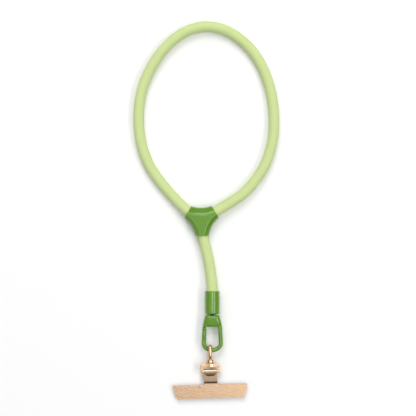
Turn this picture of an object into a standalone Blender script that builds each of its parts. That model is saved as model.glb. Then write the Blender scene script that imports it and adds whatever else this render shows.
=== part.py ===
"""Phone wrist strap: a padded cord loop, a three-way joiner, a stem with a swivel carabiner, a metal patch.

The strap lies on its back on the plane z = 0. X runs across it, Y from the patch up to the loop, Z is up.
The origin is on the plane, under the middle of the hardware from the joiner to the patch.
"""

import math

import bmesh
import bpy
from mathutils import Matrix, Vector

MM = 0.001

# Clearances
RUNNING_GAP = 0.3 * MM      # between metal pieces that meet or turn on each other
CORD_FIT = 0.35 * MM        # round a cord in its socket

# Cord
CORD_DIAMETER = 8.5 * MM
CORD_SPACING = 9.0 * MM     # between the sections of a cord's solid
CORD_SETTLE = 34.0 * MM     # the run in which the loop comes down from a port to the surface
LOOP_WIDTH = 108.3 * MM     # between the cord's middle lines
LOOP_LENGTH = 154.7 * MM    # from the joiner's centre to the middle line at the top of the loop
STEM_DROP = 56.8 * MM       # from the joiner's centre down to the ferrule's mouth
STEM_SWING = -8.5 * MM      # from the ferrule's axis across to the joiner's centre

# Three-way joiner
JOINER_TURN = 1.3           # degrees
PORT_REACH = 12.6 * MM      # from the joiner's centre to a port's face
PORT_WALL = 1.05 * MM       # beside the cord
CROWN_WALL = 0.9 * MM       # over and under the cord
SIDE_REACH = 9.75 * MM      # from the centre to the middle of a hollow side
SIDE_ROUNDING = 5.2 * MM    # how far in from its outline a side starts to fall
SOCKET_DEPTH = 7.6 * MM
JOINER_STEPS = (-90, -68, -50, -34, -17, 0, 17, 34, 50, 68, 90)     # degrees up its rounded side
PORTS = (
    # name, direction in degrees, lean of its socket in degrees
    ("right", 30.0, -0.6),
    ("left", 150.0, -5.2),
    ("stem", 270.0, 4.9),
)

# Ferrule and the swivel stud in it
FERRULE_X = 1.5 * MM
FERRULE_MOUTH_Y = 9.5 * MM
FERRULE_LENGTH = 18.2 * MM
FERRULE_WALL = 1.3 * MM
FERRULE_ROUNDING = 1.0 * MM
FERRULE_RIM = 0.4 * MM
FERRULE_WEB = 3.0 * MM
STUD_DIAMETER = 2.8 * MM
STUD_HEAD_DIAMETER = 5.8 * MM
STUD_HEAD_THICKNESS = 1.2 * MM
STUD_DEPTH = 4.5 * MM       # in the carabiner's head
SWIVEL_GAP = 1.2 * MM       # between the ferrule and the carabiner

# Carabiner
CARABINER_LENGTH = 29.5 * MM
CARABINER_WIDTH = 16.6 * MM
BAR_WIDTH = 3.1 * MM
BAR_THICKNESS = 4.2 * MM
HEAD_LENGTH = 9.0 * MM      # down to the top of the opening
HEAD_THICKNESS = 9.2 * MM
SHOULDER_STEP = 0.8 * MM    # by which the bars are closer together at the head than at the round end
LUG_LENGTH = 2.4 * MM       # of the head beside the opening
BAR_ROOT = 0.6 * MM         # how far in the right bar starts, so that its end is inside the head
OPENING_ROUNDING = 1.7 * MM
BEND_DROP = 7.2 * MM        # height of the round end
HEAD_ROUNDNESS = 0.6        # of the head's section: 1 is an ellipse, 0 a rectangle
HEAD_ROWS = (
    # way down the head, way from the ferrule's width to the shoulder's, way from head's to bar's thickness
    (0.00, -0.25, 0.10),
    (0.05, 0.00, 0.00),
    (0.23, 0.20, 0.03),
    (0.38, 0.44, 0.15),
    (0.54, 0.60, 0.35),
    (0.68, 0.74, 0.62),
    (0.82, 0.86, 0.88),
    (1.00, 1.00, 1.00),
)

# Gate
PIVOT_DROP = 9.7 * MM       # from the top of the carabiner's head
KNUCKLE_DIAMETER = 3.0 * MM
KNUCKLE_THICKNESS = 3.9 * MM
TONGUE_DIAMETER = 2.5 * MM
TONGUE_THICKNESS = 1.5 * MM
GATE_PIN_DIAMETER = 1.0 * MM
SEAM_DROP = 18.2 * MM       # where the seam crosses the bar's middle
SEAM_ANGLE = 57.0           # degrees below the horizontal, from outside to inside
GATE_GAP = 0.3 * MM
NOSE_CUT = 10.0 * MM        # side of the box that ends the nose; it stays clear of the head and the right bar

# Swivel eye
EYE_X = -0.16 * MM
EYE_DIAMETER = 11.8 * MM
EYE_WIRE_DEPTH = 2.0 * MM   # across the wire in the ring's plane
EYE_WIRE_WIDTH = 2.8 * MM
EYE_OVERLAP = 6.3 * MM      # how far the ring's top lies above the carabiner's end
NECK_DIAMETER = 3.0 * MM
NECK_LENGTH = 0.5 * MM
COLLAR_DIAMETER = 5.7 * MM
COLLAR_LENGTH = 2.7 * MM
COLLAR_EDGE = 0.54 * MM     # its bevel
POST_DIAMETER = 2.4 * MM
RIVET_DIAMETER = 4.0 * MM
RIVET_THICKNESS = 0.6 * MM

# Hinge frame and its pin
FRAME_WIDTH = 16.1 * MM
FRAME_THICKNESS = 3.4 * MM
LEG_WIDTH = 2.4 * MM
CROSSBAR_HEIGHT = 2.1 * MM
FRAME_ROUNDING = 1.6 * MM
BOSS_DIAMETER = 6.6 * MM
BOSS_HEIGHT = 0.6 * MM      # over the crossbar
WINDOW_DROP = 3.3 * MM      # from the crossbar to the pin's axis
LEG_END = 1.25 * MM         # past the pin's axis
PIN_DIAMETER = 1.2 * MM
PIN_FIT = 0.25 * MM         # in the legs

# Patch of sheet metal
SHEET = 0.5 * MM
CURL_FIT = 0.3 * MM         # round the pin
TONGUE_REACH = 3.4 * MM     # of the curl's free end, past the pin's axis
TONGUE_END_WIDTH = 5.8 * MM
TONGUE_SHOULDER = 1.4 * MM  # where the curl's free end starts to narrow, past the pin's axis
TONGUE_SHAPE = ((1.0, 0.0), (0.74, 0.45), (0.40, 0.84))     # shares of its reach and of its rise
STEP_START = 8.4 * MM       # from the pin's axis to the stepped bend
STEP_RUN = 1.6 * MM
STEP_DROP = 1.5 * MM
STEP_SHAPE = ((-0.15, 0.0), (0.15, 0.12), (0.85, 0.88), (1.15, 1.0))    # shares of its run and its drop
PLATE_LAP = 2.2 * MM        # of the tab's strip into the plate
PLATE_START = 11.2 * MM     # from the pin's axis to the plate's long edge
PLATE_HEIGHT = 11.0 * MM
PLATE_LONG_EDGE = 60.2 * MM
PLATE_SHORT_EDGE = 54.0 * MM
PLATE_SHIFT = -0.5 * MM
PLATE_CORNER = 0.7 * MM
PLATE_SKEW = 1.9            # degrees that the curl's play lets the patch turn on its pin

# Sizes that follow from those above
JOINER_CENTRE = (FERRULE_X + STEM_SWING, FERRULE_MOUTH_Y + STEM_DROP)
SOCKET_RADIUS = CORD_DIAMETER / 2 + CORD_FIT
PORT_HALF_WIDTH = SOCKET_RADIUS + PORT_WALL
JOINER_HALF_THICKNESS = SOCKET_RADIUS + CROWN_WALL
FERRULE_DIAMETER = 2 * (SOCKET_RADIUS + FERRULE_WALL)
AXIS_HEIGHT = max(FERRULE_DIAMETER, EYE_DIAMETER) / 2
HEAD_TOP_Y = FERRULE_MOUTH_Y - FERRULE_LENGTH - SWIVEL_GAP
BAR_CENTRE = (CARABINER_WIDTH - BAR_WIDTH) / 2
SHOULDER_WIDTH = CARABINER_WIDTH - SHOULDER_STEP
SHOULDER_CENTRE = (SHOULDER_WIDTH - BAR_WIDTH) / 2
EYE_CENTRE_Y = HEAD_TOP_Y - CARABINER_LENGTH + EYE_OVERLAP - EYE_DIAMETER / 2
COLLAR_TOP_Y = EYE_CENTRE_Y - EYE_DIAMETER / 2 - NECK_LENGTH
BOSS_TOP_Y = COLLAR_TOP_Y - COLLAR_LENGTH - RUNNING_GAP
CROSSBAR_BOTTOM_Y = BOSS_TOP_Y - BOSS_HEIGHT - CROSSBAR_HEIGHT
PIN_Y = CROSSBAR_BOTTOM_Y - WINDOW_DROP
TAB_WIDTH = FRAME_WIDTH - 2 * LEG_WIDTH - 2 * RUNNING_GAP

# The loop's middle line from the right port to the left one: shares of its width and length from the
# joiner's centre
LOOP_SHAPE = (
    (0.1773, 0.0743), (0.2982, 0.1306), (0.3915, 0.2004), (0.4608, 0.2747), (0.5042, 0.3536),
    (0.5282, 0.4305), (0.5346, 0.5061), (0.5300, 0.5792), (0.5152, 0.6516), (0.4866, 0.7246),
    (0.4423, 0.7990), (0.3767, 0.8714), (0.2853, 0.9347), (0.1690, 0.9825), (0.0360, 1.0000),
    (-0.0970, 0.9800), (-0.2105, 0.9302), (-0.2992, 0.8655), (-0.3657, 0.7957), (-0.4155, 0.7253),
    (-0.4478, 0.6522), (-0.4626, 0.5792), (-0.4654, 0.5055), (-0.4552, 0.4312), (-0.4294, 0.3549),
    (-0.3832, 0.2786), (-0.3139, 0.2049), (-0.2253, 0.1319), (-0.1644, 0.0860),
)
# The stem's middle line from the joiner down: shares of its swing and drop from the ferrule's mouth
STEM_SHAPE = (
    (0.753, 0.694), (0.588, 0.597), (0.424, 0.491), (0.282, 0.389), (0.176, 0.283), (0.082, 0.174),
    (0.024, 0.079),
)

SIDES = 32
EXTRA = 1.0 * MM            # by which a cutter stands past what it cuts
AXIS_MARK = 5.0 * MM        # shown size of a joint's empty


def clear_scene():
    for item in list(bpy.data.objects):
        bpy.data.objects.remove(item)


def new_collection(name):
    group = bpy.data.collections.new(name)
    bpy.context.scene.collection.children.link(group)
    return group


clear_scene()
PARTS = new_collection("phone_wrist_strap")
CUTTERS = new_collection("cutters")


def finish_material(name, colour, roughness, metallic):
    surface = bpy.data.materials.new(name)
    surface.use_nodes = True
    shader = surface.node_tree.nodes["Principled BSDF"]
    shader.inputs["Base Color"].default_value = (*colour, 1.0)
    shader.inputs["Roughness"].default_value = roughness
    shader.inputs["Metallic"].default_value = metallic
    return surface


CORD_GREEN = (0.60, 0.70, 0.32)
LACQUER_GREEN = (0.11, 0.27, 0.04)
DARK_STEEL = (0.05, 0.05, 0.05)
ROSE_GOLD = (0.72, 0.50, 0.33)


def add_object(name, data, location=(0.0, 0.0, 0.0), rotation=(0.0, 0.0, 0.0)):
    item = bpy.data.objects.new(name, data)
    item.location = location
    item.rotation_euler = rotation
    CUTTERS.objects.link(item)
    return item


def as_part(item, colour, roughness, metallic):
    """Move an object to the parts' collection and give it a material of its own."""
    CUTTERS.objects.unlink(item)
    PARTS.objects.link(item)
    item.data.materials.clear()
    item.data.materials.append(finish_material(item.name, colour, roughness, metallic))
    return item


def combine(item, other, operation):
    """Cut, join or intersect item with other, which stays in the file as a hidden wire."""
    step = item.modifiers.new(other.name, "BOOLEAN")
    step.operation = operation
    step.object = other
    step.solver = "EXACT"
    other.hide_render = True
    other.display_type = "WIRE"
    return item


def smooth(item, angle=35.0):
    item.data.shade_smooth()
    item.data.set_sharp_from_angle(angle=math.radians(angle))
    return item


def add_mesh(name, shape, location, rotation=(0.0, 0.0, 0.0)):
    mesh = bpy.data.meshes.new(name)
    shape.to_mesh(mesh)
    shape.free()
    return add_object(name, mesh, location, rotation)


def box(name, size, location, rotation=(0.0, 0.0, 0.0)):
    shape = bmesh.new()
    bmesh.ops.create_cube(shape, size=1.0)
    bmesh.ops.scale(shape, vec=size, verts=shape.verts)
    return add_mesh(name, shape, location, rotation)


ALONG_X = (0.0, math.radians(90.0), 0.0)
ALONG_Y = (math.radians(-90.0), 0.0, 0.0)
ALONG_Z = (0.0, 0.0, 0.0)


def cylinder(name, diameter, length, location, rotation, sides=SIDES):
    shape = bmesh.new()
    bmesh.ops.create_cone(
        shape, cap_ends=True, segments=sides, radius1=diameter / 2, radius2=diameter / 2, depth=length)
    return add_mesh(name, shape, location, rotation)


def turned(name, profile, location, rotation, closed=False, sides=SIDES):
    """A profile of (radius, height) points, running down its outer side, turned about its own Z."""
    mesh = bpy.data.meshes.new(name)
    verts = [(radius, 0.0, height) for radius, height in profile]
    edges = [(i, i + 1) for i in range(len(verts) - 1)]
    if closed:
        edges.append((len(verts) - 1, 0))
    mesh.from_pydata(verts, edges, [])
    item = add_object(name, mesh, location, rotation)
    turn = item.modifiers.new("turn", "SCREW")
    turn.steps = sides
    turn.render_steps = sides
    turn.use_merge_vertices = True
    turn.merge_threshold = 0.00001
    return item


def curve_mesh(name, curve, location, rotation, merge=0.000001):
    """Make the mesh of a curve, with its caps welded on."""
    guide = bpy.data.objects.new(name, curve)
    CUTTERS.objects.link(guide)
    graph = bpy.context.evaluated_depsgraph_get()
    mesh = bpy.data.meshes.new_from_object(guide.evaluated_get(graph))
    bpy.data.objects.remove(guide)
    shape = bmesh.new()
    shape.from_mesh(mesh)
    bmesh.ops.remove_doubles(shape, verts=shape.verts, dist=merge)
    bmesh.ops.recalc_face_normals(shape, faces=shape.faces)
    shape.to_mesh(mesh)
    shape.free()
    mesh.name = name
    return add_object(name, mesh, location, rotation)


def slab(name, outline, thickness, location, rotation=(0.0, 0.0, 0.0)):
    """A flat outline of (x, y) points, thickened both ways from its plane."""
    curve = bpy.data.curves.new(name, "CURVE")
    curve.dimensions = "2D"
    curve.fill_mode = "BOTH"
    curve.extrude = thickness / 2
    line = curve.splines.new("POLY")
    line.points.add(len(outline) - 1)
    for point, (x, y) in zip(line.points, outline):
        point.co = (x, y, 0.0, 1.0)
    line.use_cyclic_u = True
    return curve_mesh(name, curve, location, rotation)


def tube_curve(name, points, radius, resolution):
    curve = bpy.data.curves.new(name, "CURVE")
    curve.dimensions = "3D"
    curve.bevel_depth = radius
    curve.bevel_resolution = resolution
    curve.use_fill_caps = True
    line = curve.splines.new("POLY")
    line.points.add(len(points) - 1)
    for point, place in zip(line.points, points):
        point.co = (*place, 1.0)
    return curve


def bar(name, points, location):
    """A bar of the carabiner's section swept through points in its own plane."""
    item = curve_mesh(name, tube_curve(name, points, BAR_WIDTH / 2, 4), location, ALONG_Z)
    item.data.transform(Matrix.Diagonal((1.0, 1.0, BAR_THICKNESS / BAR_WIDTH, 1.0)))
    return item


def loft(name, rows, location, rotation=(0.0, 0.0, 0.0)):
    """A closed skin through rows of points, all of one length, with its two ends filled."""
    shape = bmesh.new()
    rings = []
    for row in rows:
        rings.append([shape.verts.new(place) for place in row])
    count = len(rings[0])
    for low, high in zip(rings, rings[1:]):
        for i in range(count):
            j = (i + 1) % count
            shape.faces.new((low[i], low[j], high[j], high[i]))
    shape.faces.new(list(reversed(rings[0])))
    shape.faces.new(rings[-1])
    bmesh.ops.recalc_face_normals(shape, faces=shape.faces)
    return add_mesh(name, shape, location, rotation)


def arc(centre, radius, start, end, count):
    """Points on an arc from start to end degrees."""
    points = []
    for i in range(count + 1):
        angle = math.radians(start + (end - start) * i / count)
        points.append((centre[0] + radius * math.cos(angle), centre[1] + radius * math.sin(angle)))
    return points


def toward(degrees):
    return Vector((math.cos(math.radians(degrees)), math.sin(math.radians(degrees)), 0.0))


def smooth_curve(points, per_span=20):
    """A smooth curve through the points: a centripetal Catmull-Rom spline."""
    chain = [points[0] * 2 - points[1], *points, points[-1] * 2 - points[-2]]
    curve = [points[0]]
    for before, start, end, after in zip(chain, chain[1:], chain[2:], chain[3:]):
        t1 = (start - before).length ** 0.5
        t2 = t1 + (end - start).length ** 0.5
        t3 = t2 + (after - end).length ** 0.5
        for i in range(1, per_span + 1):
            t = t1 + (t2 - t1) * i / per_span
            a = before.lerp(start, t / t1)
            b = start.lerp(end, (t - t1) / (t2 - t1))
            c = end.lerp(after, (t - t2) / (t3 - t2))
            curve.append(a.lerp(b, t / t2).lerp(b.lerp(c, (t - t1) / (t3 - t1)), (t - t1) / (t2 - t1)))
    return curve


def even_points(curve, spacing):
    """Points at even steps of about the spacing along a curve."""
    reach = [0.0]
    for start, end in zip(curve, curve[1:]):
        reach.append(reach[-1] + (end - start).length)
    count = max(2, round(reach[-1] / spacing))
    points = []
    i = 0
    for k in range(count + 1):
        goal = reach[-1] * k / count
        while i < len(curve) - 2 and reach[i + 1] < goal:
            i += 1
        points.append(curve[i].lerp(curve[i + 1], (goal - reach[i]) / (reach[i + 1] - reach[i])))
    return points


def socket(port):
    """The inner end of a port's socket and the direction in which its cord leaves."""
    _, direction, lean = port
    centre = Vector((*JOINER_CENTRE, JOINER_HALF_THICKNESS))
    inner = centre + toward(direction + JOINER_TURN) * (PORT_REACH - SOCKET_DEPTH)
    return inner, toward(direction + JOINER_TURN + lean)


def socket_points(port):
    """A cord's end in its socket, its middle there and the place where it comes out."""
    inner, way = socket(port)
    return [inner + way * reach for reach in (CORD_FIT, SOCKET_DEPTH / 2, SOCKET_DEPTH)]


def settle(point, mouths):
    """The height of the loop's middle line: it comes down from the joiner's ports to the surface."""
    near = min((Vector((*point, 0.0)) - Vector((*mouth.xy, 0.0))).length for mouth in mouths)
    way = min(near / CORD_SETTLE, 1.0)
    ease = way * way * (3 - 2 * way)
    height = JOINER_HALF_THICKNESS + (CORD_DIAMETER / 2 - JOINER_HALF_THICKNESS) * ease
    return Vector((*point, height))


def placed(shape, start, width, length):
    """A shape's points, given as shares of a width and a length from its start."""
    return [(start[0] + width * across, start[1] + length * up) for across, up in shape]


def make_wrist_loop():
    start = socket_points(PORTS[0])
    end = socket_points(PORTS[1])
    mouths = (start[-1], end[-1])
    loop = placed(LOOP_SHAPE, JOINER_CENTRE, LOOP_WIDTH, LOOP_LENGTH)
    chosen = [settle(point, mouths) for point in loop]
    route = smooth_curve(start + chosen + end[::-1])
    curve = tube_curve("wrist_loop", even_points(route, CORD_SPACING), CORD_DIAMETER / 2, 4)
    as_part(add_object("wrist_loop", curve), CORD_GREEN, 0.9, 0.0)


def make_stem_cord():
    start = socket_points(PORTS[2])
    chosen = []
    drop = AXIS_HEIGHT - JOINER_HALF_THICKNESS
    stem = placed(STEM_SHAPE, (FERRULE_X, FERRULE_MOUTH_Y), STEM_SWING, STEM_DROP)
    for i, point in enumerate(stem):
        share = (i + 1) / (len(stem) + 1)
        chosen.append(Vector((*point, JOINER_HALF_THICKNESS + drop * share)))
    mouth = Vector((FERRULE_X, FERRULE_MOUTH_Y, AXIS_HEIGHT))
    depth = ferrule_socket_depth() - CORD_FIT
    end = [mouth, mouth - Vector((0.0, depth / 2, 0.0)), mouth - Vector((0.0, depth, 0.0))]
    route = smooth_curve(start + chosen + end)
    curve = tube_curve("stem_cord", even_points(route, CORD_SPACING / 2), CORD_DIAMETER / 2, 4)
    as_part(add_object("stem_cord", curve), CORD_GREEN, 0.9, 0.0)


def joiner_row(height):
    """The joiner's outline at a height from its middle plane, as points round it."""
    inset = SIDE_ROUNDING * (1 - math.sqrt(max(0.0, 1 - (height / JOINER_HALF_THICKNESS) ** 2)))
    half = PORT_HALF_WIDTH - inset
    row = []
    for _, direction, _ in PORTS:
        face = toward(direction) * PORT_REACH
        across = toward(direction + 90)
        corner = face + across * half
        next_corner = toward(direction + 120) * PORT_REACH - toward(direction + 210) * half
        middle = toward(direction + 60) * (SIDE_REACH - inset)
        pull = middle * 2 - (corner + next_corner) / 2
        row.append(face)
        for i in range(9):
            t = i / 8
            bend = corner * (1 - t) ** 2 + pull * 2 * t * (1 - t) + next_corner * t ** 2
            row.append(bend)
    return [Vector((place.x, place.y, height)) for place in row]


def make_y_joiner():
    rows = [joiner_row(JOINER_HALF_THICKNESS * math.sin(math.radians(step))) for step in JOINER_STEPS]
    place = (*JOINER_CENTRE, JOINER_HALF_THICKNESS)
    item = loft("y_joiner", rows, place, (0.0, 0.0, math.radians(JOINER_TURN)))
    for port in PORTS:
        inner, way = socket(port)
        length = SOCKET_DEPTH + 3 * EXTRA
        turn = Vector((0.0, 0.0, 1.0)).rotation_difference(way).to_euler()
        middle = inner + way * length / 2
        bore = cylinder(port[0] + "_socket", 2 * SOCKET_RADIUS, length, middle, turn)
        combine(item, bore, "DIFFERENCE")
    as_part(smooth(item), LACQUER_GREEN, 0.2, 0.0)


def ferrule_socket_depth():
    chamber = STUD_HEAD_THICKNESS + 2 * RUNNING_GAP
    return FERRULE_LENGTH - FERRULE_WEB - chamber


def make_ferrule():
    """A turned cap: its mouth is at the top of its profile, and the stud's hole at the bottom."""
    outer = FERRULE_DIAMETER / 2
    hole = STUD_DIAMETER / 2 + RUNNING_GAP
    chamber = STUD_HEAD_DIAMETER / 2 + RUNNING_GAP
    floor = -ferrule_socket_depth()
    web = FERRULE_WEB - FERRULE_LENGTH
    bottom = -FERRULE_LENGTH
    profile = [(outer - FERRULE_RIM, 0.0), (outer, -FERRULE_RIM)]
    rounding = (outer - FERRULE_ROUNDING, bottom + FERRULE_ROUNDING)
    profile += arc(rounding, FERRULE_ROUNDING, 0.0, -90.0, 4)
    profile += [(hole, bottom), (hole, web), (chamber, web), (chamber, floor), (SOCKET_RADIUS, floor)]
    profile += [(SOCKET_RADIUS, 0.0)]
    place = (FERRULE_X, FERRULE_MOUTH_Y, AXIS_HEIGHT)
    item = turned("ferrule", profile, place, ALONG_Y, closed=True)
    as_part(smooth(item), LACQUER_GREEN, 0.2, 0.0)


def make_swivel_stud():
    """A headed pin: the head turns in the ferrule's chamber, the end sits in the carabiner's head."""
    radius = STUD_DIAMETER / 2
    seat = FERRULE_WEB - FERRULE_LENGTH + RUNNING_GAP
    top = seat + STUD_HEAD_THICKNESS
    end = -FERRULE_LENGTH - SWIVEL_GAP - STUD_DEPTH + RUNNING_GAP
    head = STUD_HEAD_DIAMETER / 2
    profile = [(0.0, top), (head, top), (head, seat), (radius, seat), (radius, end), (0.0, end)]
    place = (FERRULE_X, FERRULE_MOUTH_Y, AXIS_HEIGHT)
    item = turned("swivel_stud", profile, place, ALONG_Y, sides=20)
    as_part(smooth(item), DARK_STEEL, 0.35, 1.0)


def head_row(down, wide, thin, count=28):
    """A section of the carabiner's head, between a rounded block and the bars' thickness."""
    lug_end = HEAD_LENGTH + LUG_LENGTH
    half_width = (FERRULE_DIAMETER + (SHOULDER_WIDTH - FERRULE_DIAMETER) * wide) / 2
    half_thickness = (HEAD_THICKNESS + (BAR_THICKNESS - HEAD_THICKNESS) * thin) / 2
    row = []
    for i in range(count):
        angle = 2 * math.pi * (i + 0.5) / count
        across = math.copysign(abs(math.cos(angle)) ** HEAD_ROUNDNESS, math.cos(angle))
        up = math.copysign(abs(math.sin(angle)) ** HEAD_ROUNDNESS, math.sin(angle))
        row.append(Vector((half_width * across, -lug_end * down, half_thickness * up)))
    return row


def rounded_opening():
    """The opening under the head, with its two round upper corners, as an outline."""
    half = SHOULDER_WIDTH / 2 - BAR_WIDTH
    top = -HEAD_LENGTH
    corner = OPENING_ROUNDING
    outline = arc((half - corner, top - corner), corner, 0.0, 90.0, 6)
    outline += arc((corner - half, top - corner), corner, 90.0, 180.0, 6)
    low = top - LUG_LENGTH - EXTRA
    return outline + [(-half, low), (half, low)]


def bar_points(start_angle, end_angle, count):
    """Points on the round end's middle line; 0 degrees is its right side and -90 its lowest point."""
    depth = BEND_DROP - BAR_WIDTH / 2
    centre = -(CARABINER_LENGTH - BEND_DROP)
    points = []
    for i in range(count + 1):
        angle = math.radians(start_angle + (end_angle - start_angle) * i / count)
        points.append(Vector((BAR_CENTRE * math.cos(angle), centre + depth * math.sin(angle), 0.0)))
    return points


def seam_box(name, side, size, location):
    """A box on one side of the seam between gate and nose: side is 1 for the gate's, -1 for the nose's."""
    seam = Vector((-(SHOULDER_CENTRE + BAR_CENTRE) / 2, -SEAM_DROP, 0.0))
    normal = toward(90.0 - SEAM_ANGLE)
    middle = Vector(location) + seam + normal * side * (size - GATE_GAP) / 2
    return box(name, (size, size, size), middle, (0.0, 0.0, math.radians(90.0 - SEAM_ANGLE)))


def make_carabiner_body():
    place = (FERRULE_X, HEAD_TOP_Y, AXIS_HEIGHT)
    pivot = (FERRULE_X - SHOULDER_CENTRE, HEAD_TOP_Y - PIVOT_DROP, AXIS_HEIGHT)
    item = loft("carabiner_body", [head_row(*row) for row in HEAD_ROWS], place)
    opening = slab("opening", rounded_opening(), 2 * HEAD_THICKNESS, place)
    combine(item, opening, "DIFFERENCE")
    lug = SHOULDER_WIDTH / 2
    removed = (lug + EXTRA - OPENING_ROUNDING, LUG_LENGTH + EXTRA, 2 * BAR_THICKNESS)
    middle = (FERRULE_X - OPENING_ROUNDING - removed[0] / 2, HEAD_TOP_Y - HEAD_LENGTH - removed[1] / 2,
              AXIS_HEIGHT)
    combine(item, box("left_lug", removed, middle), "DIFFERENCE")
    knuckle = cylinder("knuckle", KNUCKLE_DIAMETER, KNUCKLE_THICKNESS, pivot, ALONG_Z)
    combine(item, knuckle, "UNION")
    path = [Vector((SHOULDER_CENTRE - BAR_ROOT, -HEAD_LENGTH, 0.0))]
    path += [Vector((SHOULDER_CENTRE, -HEAD_LENGTH - LUG_LENGTH, 0.0))]
    path += bar_points(0.0, -180.0, 16)
    path += [Vector((-(SHOULDER_CENTRE + BAR_CENTRE) / 2, BAR_WIDTH - SEAM_DROP, 0.0))]
    nose = bar("ring_bar", path, place)
    combine(nose, seam_box("nose_seam", 1, NOSE_CUT, place), "DIFFERENCE")
    combine(item, nose, "UNION")
    slot_thickness = TONGUE_THICKNESS + 2 * RUNNING_GAP
    slot_size = (KNUCKLE_DIAMETER + 2 * EXTRA, TONGUE_DIAMETER / 2 + RUNNING_GAP + KNUCKLE_DIAMETER,
                 slot_thickness)
    slot_y = pivot[1] + TONGUE_DIAMETER / 2 + RUNNING_GAP - slot_size[1] / 2
    combine(item, box("tongue_slot", slot_size, (pivot[0], slot_y, AXIS_HEIGHT)), "DIFFERENCE")
    hole = GATE_PIN_DIAMETER + 2 * PIN_FIT
    combine(item, cylinder("gate_pin_hole", hole, 2 * HEAD_THICKNESS, pivot, ALONG_Z, 16), "DIFFERENCE")
    bore_length = STUD_DEPTH + EXTRA
    bore_y = HEAD_TOP_Y - STUD_DEPTH + bore_length / 2
    bore = cylinder("stud_hole", STUD_DIAMETER + 2 * RUNNING_GAP, bore_length,
                    (FERRULE_X, bore_y, AXIS_HEIGHT), ALONG_Y, 20)
    combine(item, bore, "DIFFERENCE")
    as_part(smooth(item), LACQUER_GREEN, 0.2, 0.0)


def make_gate():
    """The sprung bar: its tongue turns on the pin in the knuckle's slot."""
    body = (FERRULE_X, HEAD_TOP_Y, AXIS_HEIGHT)
    pivot = (FERRULE_X - SHOULDER_CENTRE, HEAD_TOP_Y - PIVOT_DROP, AXIS_HEIGHT)
    low = Vector((SHOULDER_CENTRE - BAR_CENTRE, PIVOT_DROP - SEAM_DROP - 2 * BAR_WIDTH, 0.0))
    item = bar("carabiner_gate", [Vector((0.0, 0.0, 0.0)), low * 0.5, low], pivot)
    relief = KNUCKLE_DIAMETER + 2 * GATE_GAP
    combine(item, cylinder("knuckle_relief", relief, 2 * BAR_THICKNESS, pivot, ALONG_Z), "DIFFERENCE")
    combine(item, seam_box("gate_seam", -1, CARABINER_WIDTH, body), "DIFFERENCE")
    radius = TONGUE_DIAMETER / 2
    outline = arc((0.0, 0.0), radius, 0.0, 180.0, 10)
    reach = -KNUCKLE_DIAMETER
    outline += [(-radius, reach), (radius, reach)]
    combine(item, slab("tongue", outline, TONGUE_THICKNESS, pivot), "UNION")
    hole = GATE_PIN_DIAMETER + 2 * PIN_FIT
    combine(item, cylinder("tongue_hole", hole, BAR_THICKNESS, pivot, ALONG_Z, 16), "DIFFERENCE")
    as_part(smooth(item), LACQUER_GREEN, 0.2, 0.0)


def make_gate_pin():
    pivot = (FERRULE_X - SHOULDER_CENTRE, HEAD_TOP_Y - PIVOT_DROP, AXIS_HEIGHT)
    item = cylinder("gate_pin", GATE_PIN_DIAMETER, BAR_THICKNESS, pivot, ALONG_Z, 16)
    as_part(smooth(item), DARK_STEEL, 0.35, 1.0)


def make_swivel_eye():
    """A ring standing round the carabiner's bar, with its neck, collar and riveted post in one piece."""
    wire = EYE_WIRE_DEPTH / 2
    bpy.ops.mesh.primitive_torus_add(
        major_radius=EYE_DIAMETER / 2 - wire, minor_radius=wire, major_segments=32, minor_segments=10)
    item = bpy.context.active_object
    for group in item.users_collection:
        group.objects.unlink(item)
    CUTTERS.objects.link(item)
    item.name = "swivel_eye"
    item.data.transform(Matrix.Diagonal((1.0, 1.0, EYE_WIRE_WIDTH / EYE_WIRE_DEPTH, 1.0)))
    item.data.transform(Matrix.Rotation(math.radians(90.0), 4, "Y"))
    item.location = (EYE_X, EYE_CENTRE_Y, AXIS_HEIGHT)
    neck = NECK_DIAMETER / 2
    collar = COLLAR_DIAMETER / 2
    post = POST_DIAMETER / 2
    rivet = RIVET_DIAMETER / 2
    edge = COLLAR_EDGE
    top = wire + NECK_LENGTH
    post_end = CROSSBAR_BOTTOM_Y - COLLAR_TOP_Y
    rivet_top = post_end + RIVET_THICKNESS
    profile = [(0.0, top), (neck, top), (neck, 0.0), (collar - edge / 2, 0.0), (collar, -edge)]
    profile += [(collar, edge - COLLAR_LENGTH), (collar - edge, -COLLAR_LENGTH), (post, -COLLAR_LENGTH)]
    profile += [(post, rivet_top), (rivet, rivet_top), (rivet, post_end), (0.0, post_end)]
    shank = turned("eye_shank", profile, (EYE_X, COLLAR_TOP_Y, AXIS_HEIGHT), ALONG_Y, sides=24)
    combine(item, shank, "UNION")
    as_part(smooth(item), ROSE_GOLD, 0.2, 1.0)


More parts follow.
